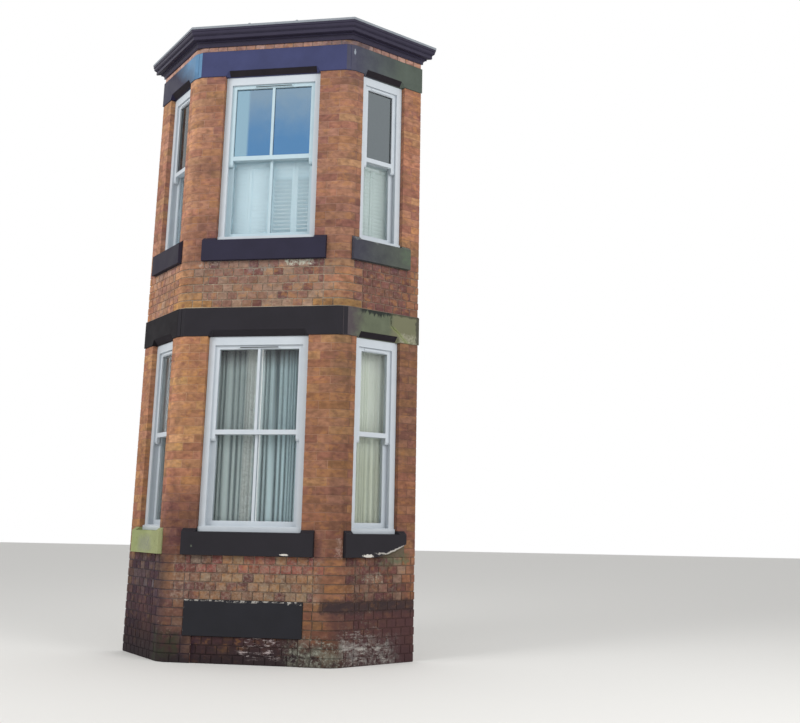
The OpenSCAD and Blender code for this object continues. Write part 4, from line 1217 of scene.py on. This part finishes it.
def layShutters(plan):
    laid = []
    stile, thick, depth = plan["stile"], plan["thick"], -plan["near"] - plan["thick"] / 2
    between = plan["high"] - stile - plan["topRail"]
    count = int(between / plan["pitch"])
    for face, s0, s1, leaves in plan["windows"]:
        wide = (s1 - s0 - 2 * plan["edge"] - plan["gap"] * (leaves - 1)) / leaves
        turn = face * math.pi / 4
        for leaf in range(leaves):
            left = s0 + plan["edge"] + leaf * (wide + plan["gap"])
            for s in (left + stile / 2, left + wide - stile / 2):
                laid.append((facePoint(face, s, depth, plan["low"] + plan["high"] / 2), (0, 0, turn),
                             (stile, thick, plan["high"]), 1))
            for z, high in ((stile / 2, stile), (plan["high"] - plan["topRail"] / 2, plan["topRail"])):
                laid.append((facePoint(face, left + wide / 2, depth, plan["low"] + z), (0, 0, turn),
                             (wide - 2 * stile, thick * plan["railThick"], high), 1))
            for i in range(count):
                lean = plan["shut"]
                if face == 0 and leaf > 1:
                    lean = plan["tilted"] * (1 if i < count * plan["open"] else 0.5)
                z = plan["low"] + stile + (i + 0.5) * between / count
                laid.append((facePoint(face, left + wide / 2, depth, z), (lean, 0, turn),
                             (wide - 2 * stile, *plan["louvre"]), 0))
    return laid


shutterShapes = bpy.data.collections.new("shutterShapes")
for name, mesh in (("shutter00", louvreMesh("louvre")), ("shutter01", blockMesh("rail", (0.01, 0.06, 0.01)))):
    shutterShapes.objects.link(bpy.data.objects.new(name, mesh))
# the shutters take lit copies of the white paint: painted light behind the glass
leaves = laidObject("louvredShutters", layShutters(shutters), shutterShapes, plainFinish("paleSatinPaint"), 1)
leaves.data.materials.append(plainFinish("creamSatinPaint"))
for face in leaves.data.polygons:  # the right window's own lit copy, less blue
    if face.center.x > bay["half"] - bay["splay"] / 2:
        face.material_index = len(leaves.data.materials) - 1
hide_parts("cafe_shutters")
print("shutters set")

# Vent slots, a dark line across each hood: partly gauze, partly painted shade in the slot
vents = {"size": (0.41, 0.002, 0.010), "out": -0.0675,
         "spots": ((3.118, bay["groundShift"]), (6.053, bay["firstShift"]))}
slots = [(facePoint(0, shift, vents["out"], z), (0, 0, 0), vents["size"], 1) for z, shift in vents["spots"]]
slotPiece = laidObject("ventSlots", slots, shutterShapes, gauzeAndSlotShade(), 2)

# Mortar fillet on the ledge over the ground floor lintels
fillet = {"z": 3.530, "in": -0.004, "out": 0.0095, "high": 0.011, "past": 0.02}


def layFillet(name, finish):
    end = bay["sideEnd"] + fillet["past"]
    path = [(-1, end), (-1, bay["splay"]), (0, -arris), (0, arris), (1, bay["splay"]), (1, end)]
    outline = ((fillet["in"], 0.0), (fillet["out"], 0.0), (fillet["in"], fillet["high"]))
    bm = bmesh.new()
    rings = [[bm.verts.new(facePoint(face, s, out, fillet["z"] + z)) for out, z in outline] for face, s in path]
    for a, b in zip(rings[:-1], rings[1:]):
        for i in range(3):
            bm.faces.new((a[i], a[(i + 1) % 3], b[(i + 1) % 3], b[i]))
    bm.faces.new(rings[0])
    bm.faces.new(rings[-1])
    bmesh.ops.recalc_face_normals(bm, faces=bm.faces)
    piece = newObject(name, meshFrom(bm, name))
    piece.data.materials.append(finish)
    cutAtWall(piece)
    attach(piece, "root")


layFillet("lintelFillet", limeMortar("filletMortar", "#A79A8A"))

# Floor boards
boards = {"wide": 0.121, "gap": 0.0012, "least": 0.004}


def layBoards(node, name, finish):  # the slab of the source sawn into boards
    lows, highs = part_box(node)
    source = meshFrom(cadCopy(node, True), "slab")
    joined = bmesh.new()
    edge = lows[1]
    while edge < highs[1] - boards["least"]:
        board = bmesh.new()
        board.from_mesh(source)
        cutOff(board, (0, edge + boards["gap"] / 2, 0), (0, -1, 0))
        cutOff(board, (0, edge + boards["wide"] - boards["gap"] / 2, 0), (0, 1, 0))
        part = meshFrom(board, "board")
        joined.from_mesh(part)
        bpy.data.meshes.remove(part)
        edge += boards["wide"]
    piece = newObject(name, meshFrom(joined, name))
    piece.data.materials.append(finish)
    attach(piece, "root")
    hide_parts(node)


for node, name in (("ground_floor_boards", "groundFloorBoards"), ("first_floor_boards", "firstFloorBoards")):
    layBoards(node, name, wood)
print("fillet and boards laid")

# Curtains. A wave has its size, its step for each column or down the drop, and how much the seed moves it
curtain = {
    "top": 3.186, "low": 1.310, "back": -0.205, "settle": -0.010, "pleat": 0.050, "rows": 40, "step": 0.004,
    "swing": (0.005, 0.015), "falls": 5,  # at the rod and further down, where it is reached in a fifth of the drop
    "crowding": ((0.5, 0.071, 1.0), (0.35, 0.193, 2.1)), "drift": (0.9, 1.7, 0.035),
    "reach": 0.68, "reachWaves": ((0.20, 0.05, 1), (0.12, 0.137, 3)), "ripple": (0.18, 2.7, 3),
    "fold": 0.42, "scallop": (0.012, 60),  # shade of a pleat, and the lace's edge
}


def waves(parts, i, seed):
    return sum(size * math.sin(i * step + seed * share) for size, step, share in parts)


def hangCurtain(name, face, s0, s1, cloth, seed, lace):
    draw = random.Random(seed)
    columns = int((s1 - s0) / curtain["step"])
    pleats, phase = [], draw.uniform(0, 6)
    for i in range(columns + 1):
        pleats.append(phase)
        phase += 2 * math.pi * curtain["step"] / curtain["pleat"] * (1 + waves(curtain["crowding"], i, seed))
    verts, faces, folds, laces = [], [], [], []
    drift, ripple = curtain["drift"], curtain["ripple"]
    scallop, often = curtain["scallop"]
    for j in range(curtain["rows"] + 1):
        down = j / curtain["rows"]
        z = curtain["top"] + (curtain["low"] - curtain["top"]) * down
        fall = min(1.0, down * curtain["falls"])
        swing = curtain["swing"][0] + (curtain["swing"][1] - curtain["swing"][0]) * fall
        for i in range(columns + 1):
            s = s0 + (s1 - s0) * i / columns
            turned = pleats[i] + drift[0] * math.sin(drift[1] * down + i * drift[2] + seed) * down
            wave = math.sin(turned) + ripple[0] * math.sin(ripple[1] * pleats[i] + ripple[2] * down)
            reach = swing * (curtain["reach"] + waves(curtain["reachWaves"], i, seed))
            verts.append(facePoint(face, s, curtain["back"] + curtain["settle"] * fall + reach * wave, z))
            folds.append(0.5 + curtain["fold"] * wave)
            laces.append(1.0 if lace and lace[0] < s < lace[1] + scallop * math.sin(z * often) else 0.0)
    for j in range(curtain["rows"]):
        for i in range(columns):
            a = j * (columns + 1) + i
            faces.append((a, a + 1, a + columns + 2, a + columns + 1))
    mesh = bpy.data.meshes.new(name)
    mesh.from_pydata([tuple(v) for v in verts], [], faces)
    for key, values in (("fold", folds), ("lace", laces)):
        mesh.attributes.new(key, "FLOAT", "POINT").data.foreach_set("value", values)
    made = newObject(name, mesh)
    mesh.materials.append(cloth)
    mesh.polygons.foreach_set("use_smooth", [True] * len(mesh.polygons))
    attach(made, "root")
    return made


cloth = netCloth()
hung = [hangCurtain(name, face, s0, s1, cloth, seed, lace) for name, face, s0, s1, seed, lace in (
    ("curtainFrontLeft", 0, -0.557, -0.029, 1, (-0.19, -0.08)), ("curtainFrontRight", 0, -0.021, 0.507, 2, None),
    ("curtainSideLeft", -1, 0.176, 0.716, 3, None), ("curtainSideRight", 1, 0.176, 0.716, 4, None))]
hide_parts("ground_curtains")
print("curtains hung")

# Floor, light and camera
stage = {
    "floor": "#E6E5E2", "reach": 40.0, "sky": 0.64,
    "lamps": (("keyPanel", (-6.5, -7.5, 9.0), (0, 0, 3.6), 5.0, 560),  # name, place, aim, metres across, watts
              ("fillPanel", (8.0, -5.5, 6.5), (0, 0, 3.4), 5.0, 420)),
}
bm = bmesh.new()
bmesh.ops.create_grid(bm, x_segments=1, y_segments=1, size=stage["reach"])
floor = newObject("floor", meshFrom(bm, "floor"))
paper, tree = startMaterial("palePaper")[:2]
coat(tree, linear(stage["floor"]), {"shader": {"Roughness": 0.9}})
floor.data.materials.append(paper)

world = bpy.data.worlds.new("softStudio")
bpy.context.scene.world = world
world.use_nodes = True
tree = world.node_tree
rays = addNode(tree, "ShaderNodeLightPath").outputs
seen = addNode(tree, "maximum", (rays["Is Camera Ray"], rays["Is Glossy Ray"]))
seen = addNode(tree, "maximum", (seen, rays["Is Transmission Ray"]))
power = addNode(tree, "range", (seen, 0.0, 1.0, stage["sky"], 1.0))
fill(tree, tree.nodes["Background"], {"Color": (1.0, 1.0, 1.0, 1.0), "Strength": power})

for name, spot, aim, size, watts in stage["lamps"]:
    lamp = bpy.data.lights.new(name, "AREA")
    lamp.shape = "DISK"
    lamp.size = size
    lamp.energy = watts
    made = newObject(name, lamp)
    made.location = spot
    made.visible_glossy = False  # no lamp disc in the panes
    made.visible_transmission = False
    made.rotation_euler = (Vector(aim) - Vector(spot)).to_track_quat("-Z", "Y").to_euler()

# The photograph's own view: a phone held 1.35 m up, turned and tilted to the bay
shot = {"place": (2.937, -9.4705, 1.353), "yaw": -0.15263, "pitch": 0.21649, "roll": 0.01619,
        "pixels": 940.0, "wide": 800.0, "sensor": 36.0, "shift": (-0.0076, -0.0558)}
yaw, pitch, roll = shot["yaw"], shot["pitch"], shot["roll"]
ahead0 = Vector((math.sin(yaw), math.cos(yaw), 0))
right0 = Vector((math.cos(yaw), -math.sin(yaw), 0))
up = Vector((0, 0, 1))
ahead = ahead0 * math.cos(pitch) + up * math.sin(pitch)
up0 = up * math.cos(pitch) - ahead0 * math.sin(pitch)
right = right0 * math.cos(roll) + up0 * math.sin(roll)
top = up0 * math.cos(roll) - right0 * math.sin(roll)
camera = bpy.data.cameras.new("photoView")
camera.sensor_width = shot["sensor"]
camera.lens = shot["pixels"] / shot["wide"] * shot["sensor"]
camera.shift_x, camera.shift_y = shot["shift"]
cameraObject = newObject("photoView", camera)
turn = Matrix((right, top, -ahead)).transposed().to_4x4()
cameraObject.matrix_world = Matrix.Translation(shot["place"]) @ turn
bpy.context.scene.camera = cameraObject
bpy.context.scene.view_settings.view_transform = "Standard"
print("stage, light and camera set")
